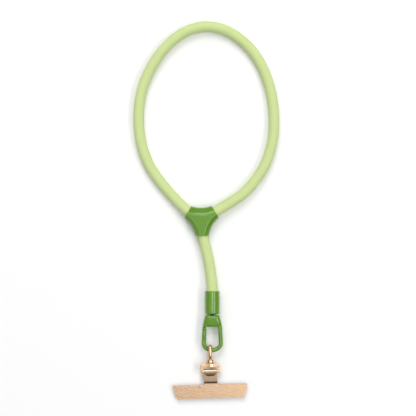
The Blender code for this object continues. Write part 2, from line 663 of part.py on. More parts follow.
def make_hinge_frame():
    place = (EYE_X, PIN_Y, AXIS_HEIGHT)
    half = FRAME_WIDTH / 2
    inner = half - LEG_WIDTH
    corner = FRAME_ROUNDING
    under = WINDOW_DROP
    over = under + CROSSBAR_HEIGHT
    outline = [(inner, under), (inner, -LEG_END), (half, -LEG_END)]
    outline += arc((half - corner, over - corner), corner, 0.0, 90.0, 5)
    outline += arc((corner - half, over - corner), corner, 90.0, 180.0, 5)
    outline += [(-half, -LEG_END), (-inner, -LEG_END), (-inner, under)]
    item = slab("hinge_frame", outline, FRAME_THICKNESS, place)
    boss_length = BOSS_HEIGHT + CROSSBAR_HEIGHT
    boss_place = (EYE_X, CROSSBAR_BOTTOM_Y + boss_length / 2, AXIS_HEIGHT)
    combine(item, cylinder("boss", BOSS_DIAMETER, boss_length, boss_place, ALONG_Y), "UNION")
    post_hole = cylinder("post_hole", POST_DIAMETER + 2 * RUNNING_GAP, boss_length + 2 * EXTRA, boss_place,
                         ALONG_Y, 20)
    combine(item, post_hole, "DIFFERENCE")
    sink_depth = RIVET_THICKNESS + RUNNING_GAP
    sink_length = sink_depth + EXTRA
    sink_y = CROSSBAR_BOTTOM_Y + sink_depth - sink_length / 2
    sink = cylinder("rivet_sink", RIVET_DIAMETER + 2 * RUNNING_GAP, sink_length,
                    (EYE_X, sink_y, AXIS_HEIGHT), ALONG_Y, 24)
    combine(item, sink, "DIFFERENCE")
    pin_hole = cylinder("pin_hole", PIN_DIAMETER + 2 * PIN_FIT, FRAME_WIDTH + 2 * EXTRA, place, ALONG_X, 16)
    combine(item, pin_hole, "DIFFERENCE")
    as_part(smooth(item), ROSE_GOLD, 0.2, 1.0)


def make_hinge_pin():
    place = (EYE_X, PIN_Y, AXIS_HEIGHT)
    item = cylinder("hinge_pin", PIN_DIAMETER, FRAME_WIDTH, place, ALONG_X, 16)
    as_part(smooth(item), ROSE_GOLD, 0.25, 1.0)


def thicken(line, thickness):
    """The outline of a sheet of that thickness whose middle runs along the line."""
    left = []
    right = []
    for i, (x, y) in enumerate(line):
        before = line[max(i - 1, 0)]
        after = line[min(i + 1, len(line) - 1)]
        way = Vector((after[0] - before[0], after[1] - before[1])).normalized()
        left.append((x - way.y * thickness / 2, y + way.x * thickness / 2))
        right.append((x + way.y * thickness / 2, y - way.x * thickness / 2))
    return left + right[::-1]


def patch_profile():
    """The sheet's middle line, as (reach, height) from the pin's axis: curl, tab and step."""
    radius = PIN_DIAMETER / 2 + CURL_FIT + SHEET / 2
    low = -radius
    free_end = low + SHEET + RUNNING_GAP
    line = [(-TONGUE_REACH * way, free_end + (radius - free_end) * rise) for way, rise in TONGUE_SHAPE]
    line += arc((0.0, 0.0), radius, 90.0, -90.0, 10)
    line += [(-STEP_START / 2, low)]
    line += [(-STEP_START - STEP_RUN * way, low - STEP_DROP * drop) for way, drop in STEP_SHAPE]
    line += [(-PLATE_START - PLATE_LAP, low - STEP_DROP)]
    return line


def plate_outline():
    """The tapered plate, from its long edge down, with small round corners."""
    top = -PLATE_START
    bottom = top - PLATE_HEIGHT
    corners = (
        (PLATE_SHIFT + PLATE_LONG_EDGE / 2, top), (PLATE_SHIFT - PLATE_LONG_EDGE / 2, top),
        (PLATE_SHIFT - PLATE_SHORT_EDGE / 2, bottom), (PLATE_SHIFT + PLATE_SHORT_EDGE / 2, bottom))
    outline = []
    for i, corner in enumerate(corners):
        here = Vector(corner)
        before = (Vector(corners[i - 1]) - here).normalized() * PLATE_CORNER
        after = (Vector(corners[(i + 1) % 4]) - here).normalized() * PLATE_CORNER
        for t in (0.0, 0.33, 0.67, 1.0):
            bend = here + before * (1 - t) ** 2 + after * t ** 2
            outline.append((bend.x, bend.y))
    return outline


def make_patch_plate():
    """One piece of sheet metal: rolled round the pin, stepped down, and cut as a tapered plate."""
    place = Vector((EYE_X, PIN_Y, AXIS_HEIGHT))
    skew = Matrix.Rotation(math.radians(PLATE_SKEW), 4, "Z")
    item = slab("patch_plate", thicken(patch_profile(), SHEET), TAB_WIDTH, place)
    item.data.transform(Matrix(((0, 0, 1, 0), (1, 0, 0, 0), (0, 1, 0, 0), (0, 0, 0, 1))))
    radius = PIN_DIAMETER / 2 + CURL_FIT + SHEET / 2
    plate_height = -radius - STEP_DROP
    plate = slab("plate", plate_outline(), SHEET, place)
    plate.data.transform(Matrix.Translation((0.0, 0.0, plate_height)))
    combine(item, plate, "UNION")
    for side in (-1, 1):
        corner = Vector((side * TONGUE_END_WIDTH / 2, -TONGUE_REACH - SHEET / 2))
        shoulder = Vector((side * TAB_WIDTH / 2, -TONGUE_SHOULDER))
        start = shoulder + (shoulder - corner).normalized() * EXTRA
        low = Vector((start.x, -TONGUE_REACH - EXTRA))
        base = Vector((corner.x, low.y))
        outline = [tuple(point) for point in (start, corner, base, low)]
        side_name = "right" if side > 0 else "left"
        top = 2 * radius
        bottom = -radius + SHEET / 2 + RUNNING_GAP / 2
        cutter = slab(side_name + "_tongue_corner", outline, top - bottom, place)
        cutter.data.transform(Matrix.Translation((0.0, 0.0, (top + bottom) / 2)))
        cutter.data.transform(skew)
        combine(item, cutter, "DIFFERENCE")
    item.data.transform(skew)
    plate.data.transform(skew)
    as_part(smooth(item), ROSE_GOLD, 0.3, 1.0)


def axis_empty(name, place, children):
    """An empty on a joint's axis that carries the pieces that move with it."""
    empty = bpy.data.objects.new(name, None)
    empty.empty_display_size = AXIS_MARK
    empty.location = place
    PARTS.objects.link(empty)
    bpy.context.view_layer.update()
    for child in children:
        item = bpy.data.objects[child]
        item.parent = empty
        item.matrix_parent_inverse = empty.matrix_world.inverted()
    return empty


def join_axes():
    pivot = (FERRULE_X - SHOULDER_CENTRE, HEAD_TOP_Y - PIVOT_DROP, AXIS_HEIGHT)
    axis_empty("hinge_axis", (EYE_X, PIN_Y, AXIS_HEIGHT), ["patch_plate"])
    axis_empty("post_axis", (EYE_X, BOSS_TOP_Y, AXIS_HEIGHT), ["hinge_frame", "hinge_pin", "hinge_axis"])
    axis_empty("gate_axis", pivot, ["carabiner_gate"])
    axis_empty("swivel_axis", (FERRULE_X, HEAD_TOP_Y, AXIS_HEIGHT),
               ["carabiner_body", "swivel_stud", "gate_pin", "gate_axis", "swivel_eye", "post_axis"])


make_wrist_loop()
make_y_joiner()
make_stem_cord()
make_ferrule()
make_swivel_stud()
make_carabiner_body()
make_gate()
make_gate_pin()
make_swivel_eye()
make_hinge_frame()
make_hinge_pin()
make_patch_plate()
join_axes()
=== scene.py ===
import math

import bmesh
import bpy
from mathutils import Matrix, Vector


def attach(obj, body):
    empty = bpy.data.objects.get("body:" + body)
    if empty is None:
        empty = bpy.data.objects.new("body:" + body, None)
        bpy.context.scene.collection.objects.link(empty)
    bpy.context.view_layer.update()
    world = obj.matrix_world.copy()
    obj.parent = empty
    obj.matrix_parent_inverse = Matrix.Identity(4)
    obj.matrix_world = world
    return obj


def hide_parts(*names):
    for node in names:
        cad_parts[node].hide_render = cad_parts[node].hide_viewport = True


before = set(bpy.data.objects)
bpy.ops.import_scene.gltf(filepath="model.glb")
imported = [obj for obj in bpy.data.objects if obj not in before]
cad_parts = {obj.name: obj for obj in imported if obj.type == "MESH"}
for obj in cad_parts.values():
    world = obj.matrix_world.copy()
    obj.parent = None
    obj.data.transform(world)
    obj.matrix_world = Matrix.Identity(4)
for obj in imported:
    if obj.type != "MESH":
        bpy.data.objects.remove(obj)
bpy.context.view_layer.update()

# The studio: a white table seen from straight above, under a bright ceiling that is dimmer on the
# photographer's side. A large soft box beyond the top of the picture throws the short soft shadows. Small
# panels overhead and a strip light on the right draw the highlights on the lacquer and the metal.
MM = 0.001
PIXEL = 0.8 * MM                    # of the photograph, on the table
FRAME_PIXELS = 416
VIEW_CENTRE = (-1.92 * MM, 75.84 * MM)
FOCUS_HEIGHT = 4.7 * MM             # most of the pieces have their middle at about this height
LENS = 120.0
SENSOR = 36.0
TABLE_SIZE = 12.0
TABLE_WHITE = "#f7f7f7"
HORIZON_LIGHT = 0.08                # of the room, from its walls up to its ceiling
CEILING_LIGHT = 0.87
CLIMB_START = 0.32                  # sine of the height at which the walls' light begins to rise
CLIMB_END = 0.85
DIM_SIDE = 0.63                     # of the ceiling's light, where the photographer stands
DIM_WAY = (0.0, -0.515, 0.857)
DIM_START = 0.883                   # cosine of the angle from that way at which the light begins to fall
DIM_END = 0.9135
BACKDROP_LIGHT = 0.9                # as the camera sees the room


def linear(hex_colour):
    """The linear colour of an sRGB hex value."""
    values = [int(hex_colour[i:i + 2], 16) / 255 for i in (1, 3, 5)]
    return (*((v / 12.92 if v <= 0.04045 else ((v + 0.055) / 1.055) ** 2.4) for v in values), 1.0)


def add_node(tree, kind, links=None, **settings):
    """Add a node; links gives its inputs by name or number, each a value or the output that feeds it."""
    made = tree.nodes.new(kind)
    for name, value in settings.items():
        setattr(made, name, value)
    for name, value in (links or {}).items():
        if isinstance(value, bpy.types.NodeSocket):
            tree.links.new(value, made.inputs[name])
        else:
            made.inputs[name].default_value = value
    return made


def new_material(name):
    """A material with nothing but its output and its surface shader."""
    made = bpy.data.materials.new(name)
    made.use_nodes = True
    return made, made.node_tree, made.node_tree.nodes["Principled BSDF"]


def dress(item, material):
    item.data.materials.clear()
    item.data.materials.append(material)


def add_soft_box(name, zenith, azimuth, distance, width, height, radiance):
    """A soft box over the table, placed by degrees from the zenith and by azimuth, 0 being the right side."""
    zenith = math.radians(zenith)
    azimuth = math.radians(azimuth)
    lamp = bpy.data.lights.new(name, "AREA")
    lamp.shape = "RECTANGLE"
    lamp.size = width
    lamp.size_y = height
    lamp.energy = radiance * math.pi * width * height
    box = bpy.data.objects.new(name, lamp)
    bpy.context.scene.collection.objects.link(box)
    flat = Vector((math.cos(azimuth), math.sin(azimuth), 0.0))
    out = flat * math.sin(zenith) + Vector((0.0, 0.0, math.cos(zenith)))
    box.location = Vector((*VIEW_CENTRE, 0.0)) + out * distance
    box.rotation_euler = out.to_track_quat("Z", "Y").to_euler()


bpy.ops.mesh.primitive_plane_add(size=TABLE_SIZE)
table = bpy.context.object
table.name = "table"
table_paint, _, shader = new_material("matt_white_laminate")
shader.inputs["Base Color"].default_value = linear(TABLE_WHITE)
shader.inputs["Roughness"].default_value = 0.9
shader.inputs["Specular IOR Level"].default_value = 0.0
dress(table, table_paint)

world = bpy.data.worlds.new("room")
bpy.context.scene.world = world
world.use_nodes = True
tree = world.node_tree
room = tree.nodes["Background"]
room.inputs["Color"].default_value = (1.0, 1.0, 1.0, 1.0)
place = add_node(tree, "ShaderNodeTexCoord")
split = add_node(tree, "ShaderNodeSeparateXYZ", {0: place.outputs["Generated"]})
climb = add_node(tree, "ShaderNodeMapRange", {
    0: split.outputs["Z"], 1: CLIMB_START, 2: CLIMB_END, 3: HORIZON_LIGHT, 4: CEILING_LIGHT},
    interpolation_type="SMOOTHSTEP")
near = add_node(tree, "ShaderNodeVectorMath", {
    0: place.outputs["Generated"], 1: DIM_WAY}, operation="DOT_PRODUCT")
dim = add_node(tree, "ShaderNodeMapRange", {
    0: near.outputs["Value"], 1: DIM_START, 2: DIM_END, 3: 1.0, 4: DIM_SIDE},
    interpolation_type="SMOOTHSTEP")
level = add_node(tree, "ShaderNodeMath", {0: climb.outputs[0], 1: dim.outputs[0]}, operation="MULTIPLY")
path = add_node(tree, "ShaderNodeLightPath")
seen = add_node(tree, "ShaderNodeMix", {
    0: path.outputs["Is Camera Ray"], 2: level.outputs[0], 3: BACKDROP_LIGHT})
tree.links.new(seen.outputs[0], room.inputs["Strength"])
bpy.context.scene.view_settings.view_transform = "Standard"

add_soft_box("key", 46, 98, 2.5, 1.35, 1.35, 4.6)
add_soft_box("top", 7, 90, 2.4, 0.9, 0.5, 2.6)
add_soft_box("over", 5.2, -90, 2.4, 0.6, 0.11, 5.5)
add_soft_box("low", 13, -40, 2.4, 0.9, 0.4, 1.7)
add_soft_box("strip", 37, -14, 2.4, 2.2, 0.34, 6.0)

bpy.ops.object.camera_add()
camera = bpy.context.object
camera.data.lens = LENS
camera.data.sensor_width = SENSOR
camera.location = (*VIEW_CENTRE, FOCUS_HEIGHT + FRAME_PIXELS * PIXEL * LENS / SENSOR)
camera.rotation_euler = (0.0, 0.0, 0.0)
bpy.context.scene.camera = camera


# The wrist loop: a soft round cord of 8.5 mm with a tubular cover braided from light green polyester yarn.
# Both of its ends go into the joiner. It rests on the table and rises to the joiner's ports, and at its top
# the cord has a faint crease.
CORD_DIAMETER = 8.5 * MM
CORD_FIT = 0.35 * MM                # between the cord and the socket that holds it
CORD_SETTLE = 34.0 * MM             # over which the loop comes down to the table
FERRULE_X = 1.5 * MM
FERRULE_MOUTH_Y = 9.5 * MM
LOOP_WIDTH = 108.3 * MM
LOOP_LENGTH = 154.7 * MM
STEM_DROP = 56.8 * MM
STEM_SWING = -8.5 * MM
JOINER_CENTRE = (FERRULE_X + STEM_SWING, FERRULE_MOUTH_Y + STEM_DROP)
JOINER_TURN = 1.3                   # degrees
PORT_REACH = 12.6 * MM
SOCKET_DEPTH = 7.6 * MM
SOCKET_RADIUS = CORD_DIAMETER / 2 + CORD_FIT
CROWN_WALL = 0.9 * MM               # of the joiner over its sockets
JOINER_HALF_THICKNESS = SOCKET_RADIUS + CROWN_WALL
PORTS = (
    # name, way that the port faces and lean of its cord, in degrees
    ("right", 30.0, -0.6),
    ("left", 150.0, -5.2),
    ("stem", 270.0, 4.9),
)
LOOP_SHAPE = (
    # across and up from the joiner's middle, as shares of the loop's width and length
    (0.1773, 0.0743), (0.2982, 0.1306), (0.3915, 0.2004), (0.4608, 0.2747), (0.5042, 0.3536),
    (0.5282, 0.4305), (0.5346, 0.5061), (0.5300, 0.5792), (0.5152, 0.6516), (0.4866, 0.7246),
    (0.4423, 0.7990), (0.3767, 0.8714), (0.2853, 0.9347), (0.1690, 0.9825), (0.0360, 1.0000),
    (-0.0970, 0.9800), (-0.2105, 0.9302), (-0.2992, 0.8655), (-0.3657, 0.7957), (-0.4155, 0.7253),
    (-0.4478, 0.6522), (-0.4626, 0.5792), (-0.4654, 0.5055), (-0.4552, 0.4312), (-0.4294, 0.3549),
    (-0.3832, 0.2786), (-0.3139, 0.2049), (-0.2253, 0.1319), (-0.1644, 0.0860),
)
RING_SPACING = 0.5 * MM
CORD_SIDES_LEVEL = 32               # of the tube's bevel, which gives 68 sides
CREASE_X = -0.6 * MM
CREASE_LENGTH = 3.0 * MM
CREASE_DEPTH = 0.05                 # share of the cord's radius
SQUEEZE = 0.07                      # the same, where a socket grips it
SQUEEZE_RUN = 3.0 * MM              # over which it gets to its full depth


def toward(degrees):
    return Vector((math.cos(math.radians(degrees)), math.sin(math.radians(degrees)), 0.0))


def socket(port):
    """The inner end of a port's socket and the direction in which its cord leaves."""
    _, direction, lean = port
    centre = Vector((*JOINER_CENTRE, JOINER_HALF_THICKNESS))
    inner = centre + toward(direction + JOINER_TURN) * (PORT_REACH - SOCKET_DEPTH)
    return inner, toward(direction + JOINER_TURN + lean)


def socket_points(port):
    inner, way = socket(port)
    return [inner + way * reach for reach in (CORD_FIT, SOCKET_DEPTH / 2, SOCKET_DEPTH)]


def smooth_curve(points, per_span=20):
    """A smooth curve through the points: a centripetal Catmull-Rom spline."""
    chain = [points[0] * 2 - points[1], *points, points[-1] * 2 - points[-2]]
    curve = [points[0]]
    for before, start, end, after in zip(chain, chain[1:], chain[2:], chain[3:]):
        t1 = (start - before).length ** 0.5
        t2 = t1 + (end - start).length ** 0.5
        t3 = t2 + (after - end).length ** 0.5
        for i in range(1, per_span + 1):
            t = t1 + (t2 - t1) * i / per_span
            a = before.lerp(start, t / t1)
            b = start.lerp(end, (t - t1) / (t2 - t1))
            c = end.lerp(after, (t - t2) / (t3 - t2))
            curve.append(a.lerp(b, t / t2).lerp(b.lerp(c, (t - t1) / (t3 - t1)), (t - t1) / (t2 - t1)))
    return curve


def line_length(points):
    return sum((end - start).length for start, end in zip(points, points[1:]))


def even_points(curve, spacing):
    """Points at even steps of about the spacing along a curve."""
    reach = [0.0]
    for start, end in zip(curve, curve[1:]):
        reach.append(reach[-1] + (end - start).length)
    count = round(reach[-1] / spacing)
    points = []
    i = 0
    for k in range(count + 1):
        goal = reach[-1] * k / count
        while i < len(curve) - 2 and reach[i + 1] < goal:
            i += 1
        points.append(curve[i].lerp(curve[i + 1], (goal - reach[i]) / (reach[i + 1] - reach[i])))
    return points


def deselect():
    bpy.ops.object.select_all(action="DESELECT")


def choose(item):
    deselect()
    item.select_set(True)
    bpy.context.view_layer.objects.active = item


def add_tube(name, points, radii, sides_level):
    """A round tube along points, each with its own radius, as a mesh with its ends closed."""
    line = bpy.data.curves.new(name, "CURVE")
    line.dimensions = "3D"
    line.bevel_depth = 1.0
    line.bevel_resolution = sides_level
    line.use_fill_caps = True
    spline = line.splines.new("POLY")
    spline.points.add(len(points) - 1)
    for point, place, radius in zip(spline.points, points, radii):
        point.co = (*place, 1.0)
        point.radius = radius
    tube = bpy.data.objects.new(name, line)
    bpy.context.scene.collection.objects.link(tube)
    choose(tube)
    bpy.ops.object.convert(target="MESH")
    bpy.ops.object.mode_set(mode="EDIT")
    bpy.ops.mesh.select_all(action="SELECT")
    bpy.ops.mesh.remove_doubles(threshold=0.000001)
    bpy.ops.mesh.normals_make_consistent(inside=False)
    bpy.ops.object.mode_set(mode="OBJECT")
    bpy.ops.object.shade_smooth_by_angle(angle=math.radians(50))
    return bpy.context.object


def held_radii(route):
    """The cord's radius along its route: full outside its sockets, squeezed inside them."""
    radii = []
    for i in range(len(route)):
        inside = (SOCKET_DEPTH - min(i, len(route) - 1 - i) * RING_SPACING) / SQUEEZE_RUN
        radii.append(CORD_DIAMETER / 2 * (1 - SQUEEZE * min(max(inside, 0.0), 1.0)))
    return radii


loop_start = socket_points(PORTS[0])
loop_end = socket_points(PORTS[1])


def settle(point):
    """The loop comes down from the joiner's ports to the table."""
    flat = Vector((*point, 0.0))
    near = min((flat - Vector((*mouth.xy, 0.0))).length for mouth in (loop_start[-1], loop_end[-1]))
    way = min(near / CORD_SETTLE, 1.0)
    ease = way * way * (3 - 2 * way)
    height = JOINER_HALF_THICKNESS + (CORD_DIAMETER / 2 - JOINER_HALF_THICKNESS) * ease
    return Vector((*point, height))


loop_chosen = []
for across, up in LOOP_SHAPE:
    spot = (JOINER_CENTRE[0] + LOOP_WIDTH * across, JOINER_CENTRE[1] + LOOP_LENGTH * up)
    loop_chosen.append(settle(spot))
loop_route = even_points(smooth_curve(loop_start + loop_chosen + loop_end[::-1]), RING_SPACING)
loop_radii = held_radii(loop_route)
for i, place in enumerate(loop_route):
    if place.y > JOINER_CENTRE[1] + LOOP_LENGTH / 2:
        off = (place.x - CREASE_X) / CREASE_LENGTH
        loop_radii[i] *= 1 - CREASE_DEPTH * math.exp(-off ** 2) * math.cos(off * math.pi)
loop_cord = add_tube("loop_cord", loop_route, loop_radii, CORD_SIDES_LEVEL)

BRAID_DIAMONDS = 20                 # round the cord; a guess, drawn coarser than such covers are, to show
BRAID_LENGTH = 1.5 * MM             # of a diamond along the cord
BRAID_DEPTH = 0.12 * MM
BRAID_ROUNDNESS = 0.6               # power that flattens the top of a float of yarn
BRAID_MIDDLE = 0.8                  # height of the yarn that lies at the cord's own radius
FILAMENTS = 5                       # seen side by side in a yarn
FILAMENT_RELIEF = 0.08
YARN_PATCH = 5 * MM                 # between lighter and darker lengths of yarn
YARN_LIGHT = "#e4f0b4"
YARN_SHADE = "#d3e29e"
# painted shade: the darker colour given to the pits between the floats of yarn
YARN_PIT_PAINTED_SHADE = "#b9cc84"


def braid_height(along, around):
    """The height of the yarn, from 0 to 1, at a count of diamonds along and round the cord."""
    first = around + along
    second = around - along
    place = (math.floor(first) + math.floor(second)) % 4
    across, onward = (second % 1, first % 1) if place > 1 else (first % 1, second % 1)
    run = place - (2 if place > 1 else 0) + (second % 1 if place <= 1 else first % 1)
    return (max(0.0, math.sin(across * math.pi) * math.sin(run * math.pi / 2))) ** BRAID_ROUNDNESS


def raise_braid(cord, length):
    """Give a cord's tube the real relief of its braid."""
    layer = cord.data.uv_layers["UVMap"].data
    normals = [vertex.normal.copy() for vertex in cord.data.vertices]
    done = set()
    for loop in cord.data.loops:
        if loop.vertex_index in done:
            continue
        done.add(loop.vertex_index)
        u, v = layer[loop.index].uv
        height = braid_height(u * length / BRAID_LENGTH, v * BRAID_DIAMONDS)
        vertex = cord.data.vertices[loop.vertex_index]
        vertex.co += normals[loop.vertex_index] * BRAID_DEPTH * (height - BRAID_MIDDLE)


def braid_material(name, length):
    """Polyester yarn, braided two over two: short flat floats that lean both ways, with painted shade
    darkening the pits between them.
    """
    made, tree, shader = new_material(name)
    math_node = "ShaderNodeMath"
    where = add_node(tree, "ShaderNodeUVMap", uv_map="UVMap")
    split = add_node(tree, "ShaderNodeSeparateXYZ", {0: where.outputs[0]})
    along = add_node(tree, math_node, {0: split.outputs["X"], 1: length / BRAID_LENGTH}, operation="MULTIPLY")
    around = add_node(tree, math_node, {0: split.outputs["Y"], 1: BRAID_DIAMONDS}, operation="MULTIPLY")
    first = add_node(tree, math_node, {0: around.outputs[0], 1: along.outputs[0]}, operation="ADD")
    second = add_node(tree, math_node, {0: around.outputs[0], 1: along.outputs[0]}, operation="SUBTRACT")
    first_cell = add_node(tree, math_node, {0: first.outputs[0]}, operation="FLOOR")
    second_cell = add_node(tree, math_node, {0: second.outputs[0]}, operation="FLOOR")
    first_part = add_node(tree, math_node, {0: first.outputs[0]}, operation="FRACT")
    second_part = add_node(tree, math_node, {0: second.outputs[0]}, operation="FRACT")
    total = add_node(tree, math_node, {0: first_cell.outputs[0], 1: second_cell.outputs[0]}, operation="ADD")
    place = add_node(tree, math_node, {0: total.outputs[0], 1: 4.0}, operation="FLOORED_MODULO")
    under = add_node(tree, math_node, {0: place.outputs[0], 1: 1.5}, operation="GREATER_THAN")
    step = add_node(tree, math_node, {
        0: under.outputs[0], 1: -2.0, 2: place.outputs[0]}, operation="MULTIPLY_ADD")
    across = add_node(tree, "ShaderNodeMix", {
        0: under.outputs[0], 2: first_part.outputs[0], 3: second_part.outputs[0]})
    onward = add_node(tree, "ShaderNodeMix", {
        0: under.outputs[0], 2: second_part.outputs[0], 3: first_part.outputs[0]})
    run = add_node(tree, math_node, {0: step.outputs[0], 1: onward.outputs[0]}, operation="ADD")
    crown = add_node(tree, math_node, {0: across.outputs[0], 1: math.pi}, operation="MULTIPLY")
    crown = add_node(tree, math_node, {0: crown.outputs[0]}, operation="SINE")
    float_arc = add_node(tree, math_node, {0: run.outputs[0], 1: math.pi / 2}, operation="MULTIPLY")
    float_arc = add_node(tree, math_node, {0: float_arc.outputs[0]}, operation="SINE")
    height = add_node(tree, math_node, {0: crown.outputs[0], 1: float_arc.outputs[0]}, operation="MULTIPLY")
    height = add_node(tree, math_node, {0: height.outputs[0], 1: BRAID_ROUNDNESS}, operation="POWER")
    body = add_node(tree, "ShaderNodeTexCoord")
    patchy = add_node(tree, "ShaderNodeTexNoise", {
        "Vector": body.outputs["Object"], "Scale": 1 / YARN_PATCH, "Detail": 3.0})
    yarn = add_node(tree, "ShaderNodeMix", {
        0: patchy.outputs["Fac"], 6: linear(YARN_SHADE), 7: linear(YARN_LIGHT)}, data_type="RGBA")
    # the low places between the floats take the painted shade colour, the raised floats the yarn's own colour
    ramp = add_node(tree, "ShaderNodeMapRange", {0: height.outputs[0], 1: 0.25, 2: 0.85, 3: 0.0, 4: 1.0})
    colour = add_node(tree, "ShaderNodeMix", {
        0: ramp.outputs[0], 6: linear(YARN_PIT_PAINTED_SHADE), 7: yarn.outputs[2]}, data_type="RGBA")
    filaments = add_node(tree, math_node, {
        0: across.outputs[0], 1: 2 * math.pi * FILAMENTS}, operation="MULTIPLY")
    filaments = add_node(tree, math_node, {0: filaments.outputs[0]}, operation="SINE")
    relief = add_node(tree, math_node, {
        0: filaments.outputs[0], 1: FILAMENT_RELIEF, 2: height.outputs[0]}, operation="MULTIPLY_ADD")
    bump = add_node(tree, "ShaderNodeBump", {
        "Strength": 0.6, "Distance": BRAID_DEPTH, "Height": relief.outputs[0]})
    tree.links.new(colour.outputs[2], shader.inputs["Base Color"])
    tree.links.new(bump.outputs[0], shader.inputs["Normal"])
    shader.inputs["Roughness"].default_value = 0.85
    shader.inputs["Specular IOR Level"].default_value = 0.3
    shader.inputs["Sheen Weight"].default_value = 0.15
    shader.inputs["Sheen Roughness"].default_value = 0.5
    return made


loop_length = line_length(loop_route)
raise_braid(loop_cord, loop_length)
dress(loop_cord, braid_material("braided_polyester_loop", loop_length))
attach(loop_cord, "strap")
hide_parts("wrist_loop")


# The stem: a short length of the same cord, from the joiner's third port down to the ferrule. It swings to
# the right on its way, and goes as deep into the ferrule as the crimp needs.
AXIS_HEIGHT = 5.9 * MM              # of the metal pieces' middles over the table
STEM_SHAPE = (
    # across and up from the ferrule's mouth, as shares of the stem's swing and drop
    (0.753, 0.694), (0.588, 0.597), (0.424, 0.491), (0.282, 0.389), (0.176, 0.283), (0.082, 0.174),
    (0.024, 0.079),
)
FERRULE_SOCKET_DEPTH = 13.4 * MM

stem_start = socket_points(PORTS[2])
stem_chosen = []
for i, (across, up) in enumerate(STEM_SHAPE):
    share = (i + 1) / (len(STEM_SHAPE) + 1)
    stem_chosen.append(Vector((
        FERRULE_X + STEM_SWING * across, FERRULE_MOUTH_Y + STEM_DROP * up,
        JOINER_HALF_THICKNESS + (AXIS_HEIGHT - JOINER_HALF_THICKNESS) * share)))
stem_mouth = Vector((FERRULE_X, FERRULE_MOUTH_Y, AXIS_HEIGHT))
stem_depth = Vector((0.0, FERRULE_SOCKET_DEPTH - CORD_FIT, 0.0))
stem_end = [stem_mouth, stem_mouth - stem_depth / 2, stem_mouth - stem_depth]
stem_route = even_points(smooth_curve(stem_start + stem_chosen + stem_end), RING_SPACING)
stem_cord = add_tube("stem_braid", stem_route, held_radii(stem_route), CORD_SIDES_LEVEL)
stem_length = line_length(stem_route)
raise_braid(stem_cord, stem_length)
dress(stem_cord, braid_material("braided_polyester_stem", stem_length))
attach(stem_cord, "strap")
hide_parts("stem_cord")


# The three-way joiner: moulded plastic with a thick glossy green lacquer. Each of its three ports holds a
# cord's end. Its sides are hollow and round, and its faces are flat, with a soft ridge along each edge.
PORT_WALL = 1.05 * MM
PORT_HALF_WIDTH = SOCKET_RADIUS + PORT_WALL
SIDE_REACH = 9.75 * MM              # from the middle to the middle of a hollow side
PORT_BORE_RADIUS = 4.3 * MM
FACE_INSET = 5.0 * MM               # from the outline to the ridge, at the ports
SIDE_SHARES = (1.0, 0.6, 0.68)      # of that inset: the side over the ports, the left one, the right one
HOLLOW_SHARE = 1.08                 # of that inset in the middle of a side
BAND_SLOPE = math.radians(33.5)     # of a side's band, from its round edge up to the ridge
RIDGE_RADIUS = 3.2 * MM
HOLLOW_STEPS = 16
EDGE_STEPS = 10
RIDGE_STEPS = 6


def open_mesh(item):
    choose(item)
    bpy.ops.object.mode_set(mode="EDIT")
    return bmesh.from_edit_mesh(item.data)


def close_mesh():
    bpy.ops.object.mode_set(mode="OBJECT")


def pick(item, kind, test):
    """Open a mesh with only those of its vertices, edges or faces selected that pass the test."""
    shape = open_mesh(item)
    bpy.ops.mesh.select_mode(type=kind)
    bpy.ops.mesh.select_all(action="DESELECT")
    parts = {"VERT": shape.verts, "EDGE": shape.edges, "FACE": shape.faces}[kind]
    for part in parts:
        part.select_set(test(part))
    shape.select_flush_mode()
    bmesh.update_edit_mesh(item.data)


def modify(item, kind, **settings):
    choose(item)
    added = item.modifiers.new(kind.lower(), kind)
    for name, value in settings.items():
        setattr(added, name, value)
    bpy.ops.object.modifier_apply(modifier=added.name)


def join_or_cut(item, other, operation):
    """Join another solid to a piece or cut it away, and remove it."""
    modify(item, "BOOLEAN", operation=operation, solver="EXACT", object=other)
    bpy.data.objects.remove(other)


def settle_place(item):
    choose(item)
    bpy.ops.object.transform_apply(location=True, rotation=True, scale=True)


def cast(item, grain, passes):
    """Give a joined solid the even surface and the small round edges of a casting."""
    modify(item, "REMESH", mode="VOXEL", voxel_size=grain)
    modify(item, "SMOOTH", factor=0.5, iterations=passes)
    choose(item)
    bpy.ops.object.shade_smooth()


def loft_rows(name, rows):
    """A closed solid through rows of points: a disc that is extruded from row to row."""
    deselect()
    bpy.ops.mesh.primitive_circle_add(vertices=len(rows[0]), fill_type="NGON")
    item = bpy.context.object
    item.name = name
    for vertex, place in zip(item.data.vertices, rows[0]):
        vertex.co = place
    open_mesh(item)
    bpy.ops.mesh.select_all(action="SELECT")
    for row in rows[1:]:
        bpy.ops.mesh.extrude_region_move()
        shape = bmesh.from_edit_mesh(item.data)
        top = next(face for face in shape.faces if face.select)
        for corner, place in zip(top.verts, row):
            corner.co = place
        bmesh.update_edit_mesh(item.data)
    bpy.ops.mesh.select_all(action="SELECT")
    bpy.ops.mesh.normals_make_consistent(inside=False)
    close_mesh()
    return item


def add_cylinder(name, diameter, length, place, way, sides=64):
    deselect()
    turn = Vector((0.0, 0.0, 1.0)).rotation_difference(Vector(way)).to_euler()
    bpy.ops.mesh.primitive_cylinder_add(
        vertices=sides, radius=diameter / 2, depth=length, location=place, rotation=turn)
    item = bpy.context.object
    item.name = name
    settle_place(item)
    return item


